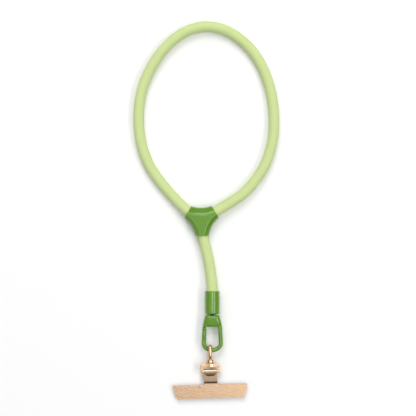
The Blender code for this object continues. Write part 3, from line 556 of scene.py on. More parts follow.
def joiner_profile():
    """Half of a side's section, as inset from the outline and height over the middle: edge, band, ridge."""
    slope = math.tan(BAND_SLOPE)
    edge_height = JOINER_HALF_THICKNESS - slope * FACE_INSET
    edge = edge_height / (math.cos(BAND_SLOPE) - slope * (1 - math.sin(BAND_SLOPE)))
    profile = []
    for k in range(EDGE_STEPS + 1):
        angle = math.pi / 2 - (math.pi / 2 - BAND_SLOPE) * k / EDGE_STEPS
        profile.append((edge * (1 - math.sin(angle)), edge * math.cos(angle)))
    half_ridge = RIDGE_RADIUS * math.tan(BAND_SLOPE / 2)
    for k in range(RIDGE_STEPS + 1):
        angle = BAND_SLOPE * (1 - k / RIDGE_STEPS)
        profile.append((FACE_INSET + half_ridge - RIDGE_RADIUS * math.sin(angle),
                        JOINER_HALF_THICKNESS - RIDGE_RADIUS * (1 - math.cos(angle))))
    return profile


def joiner_row(inset, height):
    """The joiner's outline, drawn in by the inset, at a height over its middle."""
    row = []
    for (_, direction, _), share in zip(PORTS, SIDE_SHARES):
        half = PORT_HALF_WIDTH - inset * share
        corner = toward(direction) * PORT_REACH + toward(direction + 90) * half
        next_corner = toward(direction + 120) * PORT_REACH - toward(direction + 210) * half
        middle = toward(direction + 60) * (SIDE_REACH - inset * share * HOLLOW_SHARE)
        pull = middle * 2 - (corner + next_corner) / 2
        row.append(toward(direction) * PORT_REACH)
        for i in range(HOLLOW_STEPS + 1):
            t = i / HOLLOW_STEPS
            row.append(corner * (1 - t) ** 2 + pull * 2 * t * (1 - t) + next_corner * t ** 2)
    turn = Matrix.Rotation(math.radians(JOINER_TURN), 3, "Z")
    centre = Vector((*JOINER_CENTRE, JOINER_HALF_THICKNESS + height))
    return [centre + turn @ place for place in row]


LACQUER_DEEP = "#59891d"
LACQUER_PALE = "#669522"
LACQUER_POOL = 6 * MM               # between deeper and paler patches
ORANGE_PEEL = 0.8 * MM              # between the clear coat's faint waves


def glossy_lacquer(name, base_roughness):
    """Spray lacquer over a cast part: an even green under a clear glossy coat with a faint orange peel."""
    made, tree, shader = new_material(name)
    body = add_node(tree, "ShaderNodeTexCoord")
    pooling = add_node(tree, "ShaderNodeTexNoise", {
        "Vector": body.outputs["Object"], "Scale": 1 / LACQUER_POOL, "Detail": 2.0})
    colour = add_node(tree, "ShaderNodeMix", {
        0: pooling.outputs["Fac"], 6: linear(LACQUER_DEEP), 7: linear(LACQUER_PALE)}, data_type="RGBA")
    peel = add_node(tree, "ShaderNodeTexNoise", {
        "Vector": body.outputs["Object"], "Scale": 1 / ORANGE_PEEL, "Detail": 1.0})
    bump = add_node(tree, "ShaderNodeBump", {
        "Strength": 0.2, "Distance": 0.02 * MM, "Height": peel.outputs["Fac"]})
    tree.links.new(colour.outputs[2], shader.inputs["Base Color"])
    tree.links.new(bump.outputs[0], shader.inputs["Normal"])
    tree.links.new(bump.outputs[0], shader.inputs["Coat Normal"])
    shader.inputs["Roughness"].default_value = base_roughness
    shader.inputs["Specular IOR Level"].default_value = 0.1
    shader.inputs["Coat Weight"].default_value = 1.0
    shader.inputs["Coat Roughness"].default_value = 0.06
    return made


side_section = joiner_profile()
lower_rows = [joiner_row(inset, -height) for inset, height in side_section[:0:-1]]
joiner = loft_rows("joiner", lower_rows + [joiner_row(*place) for place in side_section])
for port in PORTS:
    inner, way = socket(port)
    bore = add_cylinder("bore", 2 * PORT_BORE_RADIUS, 2 * SOCKET_DEPTH, inner + way * SOCKET_DEPTH, way)
    join_or_cut(joiner, bore, "DIFFERENCE")
cast(joiner, grain=0.2 * MM, passes=6)
plastic_lacquer = glossy_lacquer("lacquered_moulded_plastic", 0.4)
dress(joiner, plastic_lacquer)
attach(joiner, "strap")
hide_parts("y_joiner")


# The ferrule: a turned aluminium cap in the same green lacquer, crimped over the stem's end. Its lip is
# chamfered, its lower edge is round, and the swivel stud's head turns in a chamber behind its web.
FERRULE_LENGTH = 18.2 * MM
FERRULE_WALL = 1.3 * MM
FERRULE_WEB = 3.0 * MM
LIP_CHAMFER = 0.4 * MM
FERRULE_ROUNDING = 1.0 * MM
ROUNDING_STEPS = 6
RUNNING_GAP = 0.3 * MM              # between metal pieces that meet or turn on each other
STUD_DIAMETER = 2.8 * MM
STUD_HEAD_DIAMETER = 5.8 * MM
STUD_HEAD_THICKNESS = 1.2 * MM
TURNED_STEPS = 96


def turn_profile(name, profile, place, axis, steps=TURNED_STEPS):
    """A turned solid: profile is pairs of a radius and a reach along the axis, which is X, Y or Z."""
    deselect()
    bpy.ops.mesh.primitive_circle_add(vertices=len(profile))
    item = bpy.context.object
    item.name = name
    along = Vector({"X": (1, 0, 0), "Y": (0, 1, 0), "Z": (0, 0, 1)}[axis])
    out = Vector({"X": (0, 0, 1), "Y": (1, 0, 0), "Z": (1, 0, 0)}[axis])
    for vertex, (radius, reach) in zip(item.data.vertices, profile):
        vertex.co = Vector(place) + out * radius + along * reach
    open_mesh(item)
    bpy.ops.mesh.select_all(action="SELECT")
    bpy.ops.mesh.spin(steps=steps, angle=2 * math.pi, center=place, axis=along)
    bpy.ops.mesh.select_all(action="SELECT")
    bpy.ops.mesh.remove_doubles(threshold=0.000002)
    bpy.ops.mesh.normals_make_consistent(inside=False)
    close_mesh()
    return item


def soften(item, width, segments=3, angle=40):
    """Round the sharp edges of a piece and shade the rest smooth."""
    modify(item, "BEVEL", width=width, segments=segments, limit_method="ANGLE",
           angle_limit=math.radians(angle))
    choose(item)
    bpy.ops.object.shade_smooth_by_angle(angle=math.radians(35))
    modify(item, "WEIGHTED_NORMAL", mode="FACE_AREA", keep_sharp=True)


ferrule_radius = SOCKET_RADIUS + FERRULE_WALL
hole_radius = STUD_DIAMETER / 2 + RUNNING_GAP
chamber_radius = STUD_HEAD_DIAMETER / 2 + RUNNING_GAP
ferrule_place = (FERRULE_X, FERRULE_MOUTH_Y, AXIS_HEIGHT)
web_top = FERRULE_WEB - FERRULE_LENGTH
ferrule_profile = [(ferrule_radius - LIP_CHAMFER, 0.0), (ferrule_radius, -LIP_CHAMFER)]
for step in range(ROUNDING_STEPS + 1):
    angle = math.radians(-90 * step / ROUNDING_STEPS)
    ferrule_profile.append((ferrule_radius - FERRULE_ROUNDING * (1 - math.cos(angle)),
                            FERRULE_ROUNDING * (1 + math.sin(angle)) - FERRULE_LENGTH))
ferrule_profile += [
    (hole_radius, -FERRULE_LENGTH), (hole_radius, web_top), (chamber_radius, web_top),
    (chamber_radius, -FERRULE_SOCKET_DEPTH), (SOCKET_RADIUS, -FERRULE_SOCKET_DEPTH), (SOCKET_RADIUS, 0.0)]
ferrule = turn_profile("ferrule_cap", ferrule_profile, ferrule_place, "Y")
soften(ferrule, 0.12 * MM)
metal_lacquer = glossy_lacquer("lacquered_metal", 0.35)
dress(ferrule, metal_lacquer)
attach(ferrule, "strap")
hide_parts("ferrule")


# The swivel stud: a turned steel pin, blackened, on which the carabiner turns. Its head is held in the
# ferrule and its end is pressed into the carabiner's head, and only its neck shows in the gap.
SWIVEL_GAP = 1.2 * MM
STUD_DEPTH = 4.5 * MM               # in the carabiner's head
STEEL_BLACK = "#2b2a28"
TURNING_MARKS = 0.3 * MM            # apart, drawn coarser than such marks are, to show


def blackened_steel(name):
    """Turned steel, blackened in a salt bath: near black, with faint turning marks that catch the light."""
    made, tree, shader = new_material(name)
    body = add_node(tree, "ShaderNodeTexCoord")
    marks = add_node(tree, "ShaderNodeTexNoise", {
        "Vector": body.outputs["Object"], "Scale": 1 / TURNING_MARKS, "Detail": 2.0})
    rough = add_node(tree, "ShaderNodeMapRange", {0: marks.outputs["Fac"], 1: 0.3, 2: 0.7, 3: 0.3, 4: 0.5})
    bump = add_node(tree, "ShaderNodeBump", {
        "Strength": 0.3, "Distance": 0.02 * MM, "Height": marks.outputs["Fac"]})
    tree.links.new(rough.outputs[0], shader.inputs["Roughness"])
    tree.links.new(bump.outputs[0], shader.inputs["Normal"])
    shader.inputs["Base Color"].default_value = linear(STEEL_BLACK)
    shader.inputs["Metallic"].default_value = 1.0
    return made


stud_seat = web_top + RUNNING_GAP
stud_end = RUNNING_GAP - FERRULE_LENGTH - SWIVEL_GAP - STUD_DEPTH
stud_profile = [
    (0.0, stud_seat + STUD_HEAD_THICKNESS), (STUD_HEAD_DIAMETER / 2, stud_seat + STUD_HEAD_THICKNESS),
    (STUD_HEAD_DIAMETER / 2, stud_seat), (STUD_DIAMETER / 2, stud_seat), (STUD_DIAMETER / 2, stud_end),
    (0.0, stud_end)]
stud = turn_profile("stud_pin", stud_profile, ferrule_place, "Y", steps=64)
soften(stud, 0.15 * MM)
black_steel = blackened_steel("blackened_steel")
dress(stud, black_steel)
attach(stud, "carabiner")
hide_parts("swivel_stud")


# The carabiner's body: one zinc casting with a thick head that holds the stud, a bar bent round the opening
# and a knuckle for the gate, lacquered green. A bare raised panel stands on each face of the head.
HEAD_TOP_Y = FERRULE_MOUTH_Y - FERRULE_LENGTH - SWIVEL_GAP
CARABINER_LENGTH = 29.5 * MM
CARABINER_WIDTH = 17.2 * MM
BAR_WIDTH = 3.5 * MM
BAR_THICKNESS = 4.2 * MM
HEAD_LENGTH = 9.0 * MM
HEAD_THICKNESS = 9.2 * MM
SHOULDER_SHRINK = 1.0 * MM          # of the bars' spread, from the bend up to the head
SHOULDER_WIDTH = CARABINER_WIDTH - SHOULDER_SHRINK
LUG_LENGTH = 2.4 * MM
BAR_CENTRE = (CARABINER_WIDTH - BAR_WIDTH) / 2
SHOULDER_CENTRE = (SHOULDER_WIDTH - BAR_WIDTH) / 2
BEND_DROP = 7.2 * MM                # of the lower bend, from its sides' ends to its lowest edge
BEND_STEPS = 48
BAR_ROOT = 0.6 * MM                 # lean of the right bar's root, inside the head
PIVOT_DROP = 9.7 * MM               # from the head's top
KNUCKLE_DIAMETER = 3.0 * MM
KNUCKLE_THICKNESS = 3.9 * MM
TONGUE_DIAMETER = 2.5 * MM
TONGUE_THICKNESS = 1.5 * MM
GATE_PIN_DIAMETER = 1.0 * MM
OPENING_CORNER = 1.7 * MM
LUG_EDGE = 1.7 * MM                 # from the axis to where the left of the lug is cut off for the gate
LUG_CUT = 10 * MM
NOSE_CUT = 10 * MM
SLOT_WIDTH = 4 * MM
SEAM_DROP = 18.2 * MM               # from the head's top
SEAM_ANGLE = 57.0
GATE_GAP = 0.3 * MM
SEAM_GAP = 0.1 * MM
SEAM_GROOVE = 1.0 * MM              # across the seam
SEAM_LIP = 0.5 * MM                 # half the thickness that the groove leaves
HEAD_ROUNDNESS = 0.6
HEAD_SIDES = 72
HEAD_ROWS = (
    # way down the head, way from the ferrule's width to the shoulder's, way from head's to bar's thickness
    (0.00, -0.12, 0.10),
    (0.02, -0.04, 0.03),
    (0.05, 0.00, 0.00),
    (0.14, 0.09, 0.01),
    (0.23, 0.20, 0.04),
    (0.30, 0.31, 0.09),
    (0.38, 0.43, 0.17),
    (0.46, 0.53, 0.27),
    (0.54, 0.61, 0.38),
    (0.61, 0.68, 0.50),
    (0.68, 0.75, 0.62),
    (0.75, 0.81, 0.74),
    (0.82, 0.87, 0.86),
    (0.91, 0.94, 0.96),
    (1.00, 1.00, 1.00),
)
body_place = Vector((FERRULE_X, HEAD_TOP_Y, AXIS_HEIGHT))
pivot = body_place + Vector((-SHOULDER_CENTRE, -PIVOT_DROP, 0.0))


def head_row(down, wide, thin):
    """A section of the carabiner's head, between a rounded block and the bars' thickness."""
    half_width = (2 * ferrule_radius + (SHOULDER_WIDTH - 2 * ferrule_radius) * wide) / 2
    half_thickness = (HEAD_THICKNESS + (BAR_THICKNESS - HEAD_THICKNESS) * thin) / 2
    row = []
    for i in range(HEAD_SIDES):
        angle = 2 * math.pi * (i + 0.5) / HEAD_SIDES
        across = math.copysign(abs(math.cos(angle)) ** HEAD_ROUNDNESS, math.cos(angle))
        up = math.copysign(abs(math.sin(angle)) ** HEAD_ROUNDNESS, math.sin(angle))
        reach = -(HEAD_LENGTH + LUG_LENGTH) * down
        row.append(body_place + Vector((half_width * across, reach, half_thickness * up)))
    return row


def add_box(name, size, place, turn=0.0):
    """A box; turn is in degrees round Z."""
    deselect()
    bpy.ops.mesh.primitive_cube_add(
        size=1.0, location=place, rotation=(0.0, 0.0, math.radians(turn)), scale=size)
    item = bpy.context.object
    item.name = name
    settle_place(item)
    return item


def stretch(item, factors, centre):
    """Stretch a piece along X, Y and Z, away from a centre."""
    open_mesh(item)
    bpy.ops.mesh.select_all(action="SELECT")
    bpy.ops.transform.resize(value=factors, center_override=centre)
    close_mesh()


def add_bar(name, points):
    """A bar of the carabiner: a round tube pressed to its oval section."""
    item = add_tube(name, points, [BAR_WIDTH / 2] * len(points), sides_level=10)
    stretch(item, (1.0, 1.0, BAR_THICKNESS / BAR_WIDTH), (0.0, 0.0, AXIS_HEIGHT))
    return item


def seam_box(name, side, size, gap=SEAM_GAP, lift=0.0):
    """A box on one side of the seam between gate and nose: side is 1 for the gate's, -1 for the nose's."""
    seam = body_place + Vector((-(SHOULDER_CENTRE + BAR_CENTRE) / 2, -SEAM_DROP, 0.0))
    normal = toward(90.0 - SEAM_ANGLE)
    place = seam + normal * side * (size - gap) / 2 + Vector((0.0, 0.0, lift))
    return add_box(name, (size, size, size), place, 90.0 - SEAM_ANGLE)


def cut_seam(item, side, size):
    """Cut a piece off at the seam, with a groove along the seam on both faces."""
    join_or_cut(item, seam_box("seam", side, size), "DIFFERENCE")
    for face in (1, -1):
        lift = face * (size / 2 + SEAM_LIP)
        join_or_cut(item, seam_box("groove", side, size, SEAM_GROOVE, lift), "DIFFERENCE")


carabiner = loft_rows("carabiner_casting", [head_row(*row) for row in HEAD_ROWS])

PANEL_TOP = 0.8 * MM                # down from the head's top
PANEL_BOTTOM = 7.6 * MM
PANEL_TOP_WIDTH = 6.4 * MM
PANEL_BOTTOM_WIDTH = 8.6 * MM
PANEL_RISE = 0.35 * MM
PANEL_FALL = 1.35 * MM              # of its lower edge, as the head gets thinner
PANEL_FLAT = 0.15                   # share of its length before it begins to fall
PANEL_BEND = 1.5                    # power with which it falls
for face in (1, -1):
    panel_place = body_place - Vector((0.0, (PANEL_TOP + PANEL_BOTTOM) / 2, 0.0))
    panel = add_box("panel", (PANEL_TOP_WIDTH, PANEL_BOTTOM - PANEL_TOP, HEAD_THICKNESS / 2), panel_place)
    open_mesh(panel)
    bpy.ops.mesh.select_all(action="SELECT")
    bpy.ops.mesh.subdivide(number_cuts=7)
    close_mesh()
    for vertex in panel.data.vertices:
        down = (body_place.y - vertex.co.y - PANEL_TOP) / (PANEL_BOTTOM - PANEL_TOP)
        vertex.co.x = body_place.x + (vertex.co.x - body_place.x) * (
            1 + (PANEL_BOTTOM_WIDTH / PANEL_TOP_WIDTH - 1) * down)
        outer = (vertex.co.z - body_place.z) * face > HEAD_THICKNESS / 5
        top = HEAD_THICKNESS / 2 + PANEL_RISE - PANEL_FALL * max(0.0, down - PANEL_FLAT) ** PANEL_BEND
        vertex.co.z = body_place.z + face * (top if outer else 0.0)
    open_mesh(panel)
    bpy.ops.mesh.select_all(action="SELECT")
    bpy.ops.mesh.normals_make_consistent(inside=False)
    close_mesh()
    join_or_cut(carabiner, panel, "UNION")

opening_half = SHOULDER_WIDTH / 2 - BAR_WIDTH
opening = add_box("opening", (2 * opening_half, 2 * LUG_LENGTH, 2 * HEAD_THICKNESS),
                  body_place - Vector((0.0, HEAD_LENGTH + LUG_LENGTH, 0.0)))
pick(opening, "EDGE", lambda edge: all(
    corner.co.y > body_place.y - HEAD_LENGTH - LUG_LENGTH for corner in edge.verts)
    and abs(edge.verts[0].co.z - edge.verts[1].co.z) > MM)
bpy.ops.mesh.bevel(offset=OPENING_CORNER, segments=8)
close_mesh()
join_or_cut(carabiner, opening, "DIFFERENCE")
lug = add_box("left_lug", (LUG_CUT, LUG_CUT, 2 * BAR_THICKNESS),
              body_place - Vector((LUG_EDGE + LUG_CUT / 2, HEAD_LENGTH + LUG_CUT / 2, 0.0)))
join_or_cut(carabiner, lug, "DIFFERENCE")
knuckle = add_cylinder("knuckle", KNUCKLE_DIAMETER, KNUCKLE_THICKNESS, pivot, (0, 0, 1))
join_or_cut(carabiner, knuckle, "UNION")

bend_depth = BEND_DROP - BAR_WIDTH / 2
ring_path = [body_place + Vector((SHOULDER_CENTRE - BAR_ROOT, -HEAD_LENGTH, 0.0))]
ring_path.append(body_place + Vector((SHOULDER_CENTRE, -HEAD_LENGTH - LUG_LENGTH, 0.0)))
for step in range(BEND_STEPS + 1):
    angle = math.radians(-180 * step / BEND_STEPS)
    ring_path.append(body_place + Vector((
        BAR_CENTRE * math.cos(angle), BEND_DROP - CARABINER_LENGTH + bend_depth * math.sin(angle), 0.0)))
ring_path.append(body_place + Vector((-(SHOULDER_CENTRE + BAR_CENTRE) / 2, BAR_WIDTH - SEAM_DROP, 0.0)))
nose = add_bar("nose", ring_path)
cut_seam(nose, 1, NOSE_CUT)
join_or_cut(carabiner, nose, "UNION")
slot_top = TONGUE_DIAMETER / 2 + RUNNING_GAP
slot_thickness = TONGUE_THICKNESS + 2 * RUNNING_GAP
slot = add_box("tongue_slot", (SLOT_WIDTH, slot_top + KNUCKLE_DIAMETER, slot_thickness),
               pivot + Vector((0.0, (slot_top - KNUCKLE_DIAMETER) / 2, 0.0)))
join_or_cut(carabiner, slot, "DIFFERENCE")
pin_hole = add_cylinder("pin_hole", GATE_PIN_DIAMETER, 2 * HEAD_THICKNESS, pivot, (0, 0, 1))
join_or_cut(carabiner, pin_hole, "DIFFERENCE")
stud_hole = add_cylinder("stud_hole", 2 * hole_radius, 2 * STUD_DEPTH, body_place, (0, 1, 0))
join_or_cut(carabiner, stud_hole, "DIFFERENCE")
cast(carabiner, grain=0.13 * MM, passes=5)
dress(carabiner, metal_lacquer)
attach(carabiner, "carabiner")
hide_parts("carabiner_body")


# The gate: a short cast bar in the same lacquer. Its tongue turns on a pin in the body's knuckle, a hidden
# spring keeps it shut, and its lower end meets the nose along a slanted seam.
gate_low = pivot + Vector((SHOULDER_CENTRE - BAR_CENTRE, PIVOT_DROP - SEAM_DROP - 2 * BAR_WIDTH, 0.0))
gate = add_bar("gate_bar", [pivot, pivot.lerp(gate_low, 0.5), gate_low])
relief = add_cylinder("relief", KNUCKLE_DIAMETER + 2 * GATE_GAP, 2 * BAR_THICKNESS, pivot, (0, 0, 1))
join_or_cut(gate, relief, "DIFFERENCE")
cut_seam(gate, -1, CARABINER_WIDTH)
tongue = add_box("tongue", (TONGUE_DIAMETER, KNUCKLE_DIAMETER, TONGUE_THICKNESS),
                 pivot - Vector((0.0, KNUCKLE_DIAMETER / 2, 0.0)))
join_or_cut(gate, tongue, "UNION")
tongue_end = add_cylinder("tongue_end", TONGUE_DIAMETER, TONGUE_THICKNESS, pivot, (0, 0, 1))
join_or_cut(gate, tongue_end, "UNION")
tongue_hole = add_cylinder("tongue_hole", GATE_PIN_DIAMETER, BAR_THICKNESS, pivot, (0, 0, 1))
join_or_cut(gate, tongue_hole, "DIFFERENCE")
cast(gate, grain=0.1 * MM, passes=4)
dress(gate, metal_lacquer)
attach(gate, "gate")
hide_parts("carabiner_gate")


# The gate's pin: a length of blackened steel wire, on which the gate's tongue turns. It is pressed through
# the knuckle, and its rounded ends lie level with the bars' faces.
gate_pin_half = BAR_THICKNESS / 2
pin_profile = [(0.0, gate_pin_half), (GATE_PIN_DIAMETER / 2, gate_pin_half),
               (GATE_PIN_DIAMETER / 2, -gate_pin_half), (0.0, -gate_pin_half)]
gate_pin = turn_profile("gate_wire_pin", pin_profile, pivot, "Z", steps=32)
soften(gate_pin, 0.15 * MM)
dress(gate_pin, black_steel)
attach(gate_pin, "carabiner")
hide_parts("gate_pin")


# The swivel eye: a cast zinc ring, plated rose gold and polished, that hangs loosely on the carabiner's
# bar. Its neck, collar and riveted post are one piece with it, and the hinge frame turns on the post.
EYE_X = -0.16 * MM
EYE_DIAMETER = 11.8 * MM
EYE_HOLD = 6.3 * MM                 # of the ring, over the carabiner's lower edge
EYE_WIRE_DEPTH = 2.0 * MM
EYE_WIRE_WIDTH = 2.8 * MM
EYE_CENTRE_Y = HEAD_TOP_Y - CARABINER_LENGTH + EYE_HOLD - EYE_DIAMETER / 2
EYE_SQUARENESS = 4.0                # 2 would leave the ring round
NECK_DIAMETER = 3.0 * MM
NECK_LENGTH = 0.5 * MM
COLLAR_DIAMETER = 5.7 * MM
COLLAR_LENGTH = 2.7 * MM
COLLAR_EDGE = 0.54 * MM
COLLAR_TOP_Y = EYE_CENTRE_Y - EYE_DIAMETER / 2 - NECK_LENGTH
POST_DIAMETER = 2.0 * MM
RIVET_DIAMETER = 3.0 * MM
RIVET_THICKNESS = 0.6 * MM
BOSS_TOP_Y = COLLAR_TOP_Y - COLLAR_LENGTH - RUNNING_GAP
BOSS_HEIGHT = 0.6 * MM
CROSSBAR_HEIGHT = 2.1 * MM
CROSSBAR_BOTTOM_Y = BOSS_TOP_Y - BOSS_HEIGHT - CROSSBAR_HEIGHT
GOLD_DEEP = "#dcb48c"
GOLD_PALE = "#e4bf97"
WEAR_PATCH = 2.5 * MM               # between duller and brighter places
SCUFF = 0.5 * MM                    # between polishing marks, drawn coarser than they are, to show


def polished_gold(name):
    """Zinc plated rose gold and polished: a bright warm metal with faint hand-polishing marks."""
    made, tree, shader = new_material(name)
    body = add_node(tree, "ShaderNodeTexCoord")
    wear = add_node(tree, "ShaderNodeTexNoise", {
        "Vector": body.outputs["Object"], "Scale": 1 / WEAR_PATCH, "Detail": 3.0})
    colour = add_node(tree, "ShaderNodeMix", {
        0: wear.outputs["Fac"], 6: linear(GOLD_DEEP), 7: linear(GOLD_PALE)}, data_type="RGBA")
    rough = add_node(tree, "ShaderNodeMapRange", {0: wear.outputs["Fac"], 1: 0.3, 2: 0.7, 3: 0.1, 4: 0.16})
    scuffs = add_node(tree, "ShaderNodeTexNoise", {
        "Vector": body.outputs["Object"], "Scale": 1 / SCUFF, "Detail": 2.0})
    bump = add_node(tree, "ShaderNodeBump", {
        "Strength": 0.05, "Distance": 0.01 * MM, "Height": scuffs.outputs["Fac"]})
    tree.links.new(colour.outputs[2], shader.inputs["Base Color"])
    tree.links.new(rough.outputs[0], shader.inputs["Roughness"])
    tree.links.new(bump.outputs[0], shader.inputs["Normal"])
    shader.inputs["Metallic"].default_value = 1.0
    return made


ring_reach = (EYE_DIAMETER - EYE_WIRE_DEPTH) / 2
deselect()
bpy.ops.mesh.primitive_torus_add(
    location=(EYE_X, EYE_CENTRE_Y, AXIS_HEIGHT), rotation=(0.0, math.radians(90), 0.0),
    major_radius=ring_reach, minor_radius=EYE_WIRE_DEPTH / 2,
    major_segments=96, minor_segments=40)
eye = bpy.context.object
eye.name = "eye_ring"
settle_place(eye)
stretch(eye, (EYE_WIRE_WIDTH / EYE_WIRE_DEPTH, 1.0, 1.0), (EYE_X, 0.0, 0.0))
for vertex in eye.data.vertices:
    along = vertex.co.y - EYE_CENTRE_Y
    up = vertex.co.z - AXIS_HEIGHT
    reach = math.hypot(along, up)
    shape_sum = abs(along / reach) ** EYE_SQUARENESS + abs(up / reach) ** EYE_SQUARENESS
    factor = (reach + ring_reach * (shape_sum ** (-1 / EYE_SQUARENESS) - 1)) / reach
    vertex.co.y = EYE_CENTRE_Y + along * factor
    vertex.co.z = AXIS_HEIGHT + up * factor
shank_top = EYE_WIRE_DEPTH / 2 + NECK_LENGTH
post_end = CROSSBAR_BOTTOM_Y - COLLAR_TOP_Y
shank_profile = [
    (0.0, shank_top), (NECK_DIAMETER / 2, shank_top), (NECK_DIAMETER / 2, 0.0),
    ((COLLAR_DIAMETER - COLLAR_EDGE) / 2, 0.0), (COLLAR_DIAMETER / 2, -COLLAR_EDGE),
    (COLLAR_DIAMETER / 2, COLLAR_EDGE - COLLAR_LENGTH), (COLLAR_DIAMETER / 2 - COLLAR_EDGE, -COLLAR_LENGTH),
    (POST_DIAMETER / 2, -COLLAR_LENGTH), (POST_DIAMETER / 2, post_end + RIVET_THICKNESS),
    (RIVET_DIAMETER / 2, post_end + RIVET_THICKNESS), (RIVET_DIAMETER / 2, post_end), (0.0, post_end)]
shank = turn_profile("shank", shank_profile, (EYE_X, COLLAR_TOP_Y, AXIS_HEIGHT), "Y")
join_or_cut(eye, shank, "UNION")
cast(eye, grain=0.09 * MM, passes=4)
gold_cast = polished_gold("rose_gold_plated_casting")
dress(eye, gold_cast)
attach(eye, "carabiner")
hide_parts("swivel_eye")


# The hinge frame: a cast bracket in the same plating, with a boss round the eye's post and two legs. The
# patch hinges on a pin between the legs, and a window is left open over it.
FRAME_WIDTH = 16.1 * MM
FRAME_THICKNESS = 3.4 * MM
LEG_WIDTH = 2.4 * MM
FRAME_ROUNDING = 1.6 * MM
BOSS_DIAMETER = 6.6 * MM
BOSS_THICKNESS = 4.2 * MM
WINDOW_DROP = 3.3 * MM              # from the crossbar down to the hinge pin
LEG_END = 1.25 * MM                 # of the legs, below the pin
PIN_DIAMETER = 1.2 * MM
PIN_FIT = 0.1 * MM
PIN_Y = CROSSBAR_BOTTOM_Y - WINDOW_DROP
pin_place = Vector((EYE_X, PIN_Y, AXIS_HEIGHT))
frame_top = PIN_Y + WINDOW_DROP + CROSSBAR_HEIGHT
frame_height = frame_top - PIN_Y + LEG_END
bracket = add_box("hinge_bracket", (FRAME_WIDTH, frame_height, FRAME_THICKNESS),
                  Vector((EYE_X, frame_top - frame_height / 2, AXIS_HEIGHT)))
pick(bracket, "EDGE", lambda edge: all(corner.co.y > PIN_Y for corner in edge.verts)
     and abs(edge.verts[0].co.z - edge.verts[1].co.z) > MM)
bpy.ops.mesh.bevel(offset=FRAME_ROUNDING, segments=8)
close_mesh()
window = add_box("window", (FRAME_WIDTH - 2 * LEG_WIDTH, 2 * frame_height, 2 * FRAME_THICKNESS),
                 Vector((EYE_X, CROSSBAR_BOTTOM_Y - frame_height, AXIS_HEIGHT)))
join_or_cut(bracket, window, "DIFFERENCE")
boss_length = BOSS_HEIGHT + CROSSBAR_HEIGHT
boss_place = Vector((EYE_X, CROSSBAR_BOTTOM_Y + boss_length / 2, AXIS_HEIGHT))
boss = add_cylinder("boss", BOSS_DIAMETER, boss_length, boss_place, (0, 1, 0))
stretch(boss, (1.0, 1.0, BOSS_THICKNESS / BOSS_DIAMETER), boss_place)
join_or_cut(bracket, boss, "UNION")
post_hole = add_cylinder("post_hole", POST_DIAMETER + RUNNING_GAP, 2 * boss_length, boss_place, (0, 1, 0))
join_or_cut(bracket, post_hole, "DIFFERENCE")
sink_length = 2 * (RIVET_THICKNESS + RUNNING_GAP)
sink = add_cylinder("rivet_sink", RIVET_DIAMETER + RUNNING_GAP, sink_length,
                    Vector((EYE_X, CROSSBAR_BOTTOM_Y, AXIS_HEIGHT)), (0, 1, 0))
join_or_cut(bracket, sink, "DIFFERENCE")
pin_bore = add_cylinder("pin_bore", PIN_DIAMETER + PIN_FIT, 2 * FRAME_WIDTH, pin_place, (1, 0, 0))
join_or_cut(bracket, pin_bore, "DIFFERENCE")
cast(bracket, grain=0.1 * MM, passes=16)
dress(bracket, gold_cast)
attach(bracket, "frame")
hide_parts("hinge_frame")


# The hinge pin: a length of steel wire in the same plating, pressed through the legs. Its ends are slightly
# domed, and lie level with the legs' outer faces.
pin_half = FRAME_WIDTH / 2
hinge_profile = [
    (0.0, pin_half), (PIN_DIAMETER / 2, pin_half), (PIN_DIAMETER / 2, -pin_half), (0.0, -pin_half)]
hinge_pin = turn_profile("hinge_wire_pin", hinge_profile, pin_place, "X", steps=40)
soften(hinge_pin, 0.18 * MM)
dress(hinge_pin, gold_cast)
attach(hinge_pin, "frame")
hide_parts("hinge_pin")


# The patch: one piece of 0.5 mm stainless sheet, plated rose gold and brushed along its length. It is cut
# with its tab, stepped down below the tab, and the tab is rolled round the pin with a narrow free end.
SHEET = 0.5 * MM
CURL_RADIUS = PIN_DIAMETER / 2 + RUNNING_GAP + SHEET / 2
TAB_WIDTH = FRAME_WIDTH - 2 * LEG_WIDTH - 2 * RUNNING_GAP
TONGUE_REACH = 4.0 * MM             # of the free end, from the pin
TONGUE_END_WIDTH = 5.0 * MM
TONGUE_TAPER = 0.4                  # share of its reach before it gets narrower
TONGUE_BEND = 2.6                   # power with which it comes down to the tab
STEP_START = 8.2 * MM               # from the pin
STEP_RUN = 2.2 * MM
STEP_DROP = 1.5 * MM
TAB_FALL = 0.55 * MM                # from the curl to the step
PLATE_START = 11.2 * MM             # from the pin
PLATE_HEIGHT = 11.0 * MM
PLATE_LONG_EDGE = 60.2 * MM
PLATE_SHORT_EDGE = 54.0 * MM
PLATE_SHIFT = -0.5 * MM
PLATE_CORNER = 0.7 * MM
PLATE_SKEW = 1.9                    # degrees that the curl's play lets the patch turn on its pin
STEP_ROWS = 12
CURL_ROWS = 24
TONGUE_ROWS = 10

plate_height = -CURL_RADIUS - STEP_DROP
plate_end = -PLATE_START - PLATE_HEIGHT
plate_corners = (
    (PLATE_SHIFT - PLATE_LONG_EDGE / 2, -PLATE_START), (PLATE_SHIFT - PLATE_SHORT_EDGE / 2, plate_end),
    (PLATE_SHIFT + PLATE_SHORT_EDGE / 2, plate_end), (PLATE_SHIFT + PLATE_LONG_EDGE / 2, -PLATE_START))
plate_outline = [Vector((-TAB_WIDTH / 2, -PLATE_START, plate_height))]
for i, corner in enumerate(plate_corners):
    here = Vector((*corner, plate_height))
    before = (Vector((*plate_corners[i - 1], plate_height)) - here).normalized() * PLATE_CORNER
    after = (Vector((*plate_corners[(i + 1) % 4], plate_height)) - here).normalized() * PLATE_CORNER
    for t in (0.0, 0.2, 0.4, 0.6, 0.8, 1.0):
        plate_outline.append(here + before * (1 - t) ** 2 + after * t ** 2)
plate_outline.append(Vector((TAB_WIDTH / 2, -PLATE_START, plate_height)))

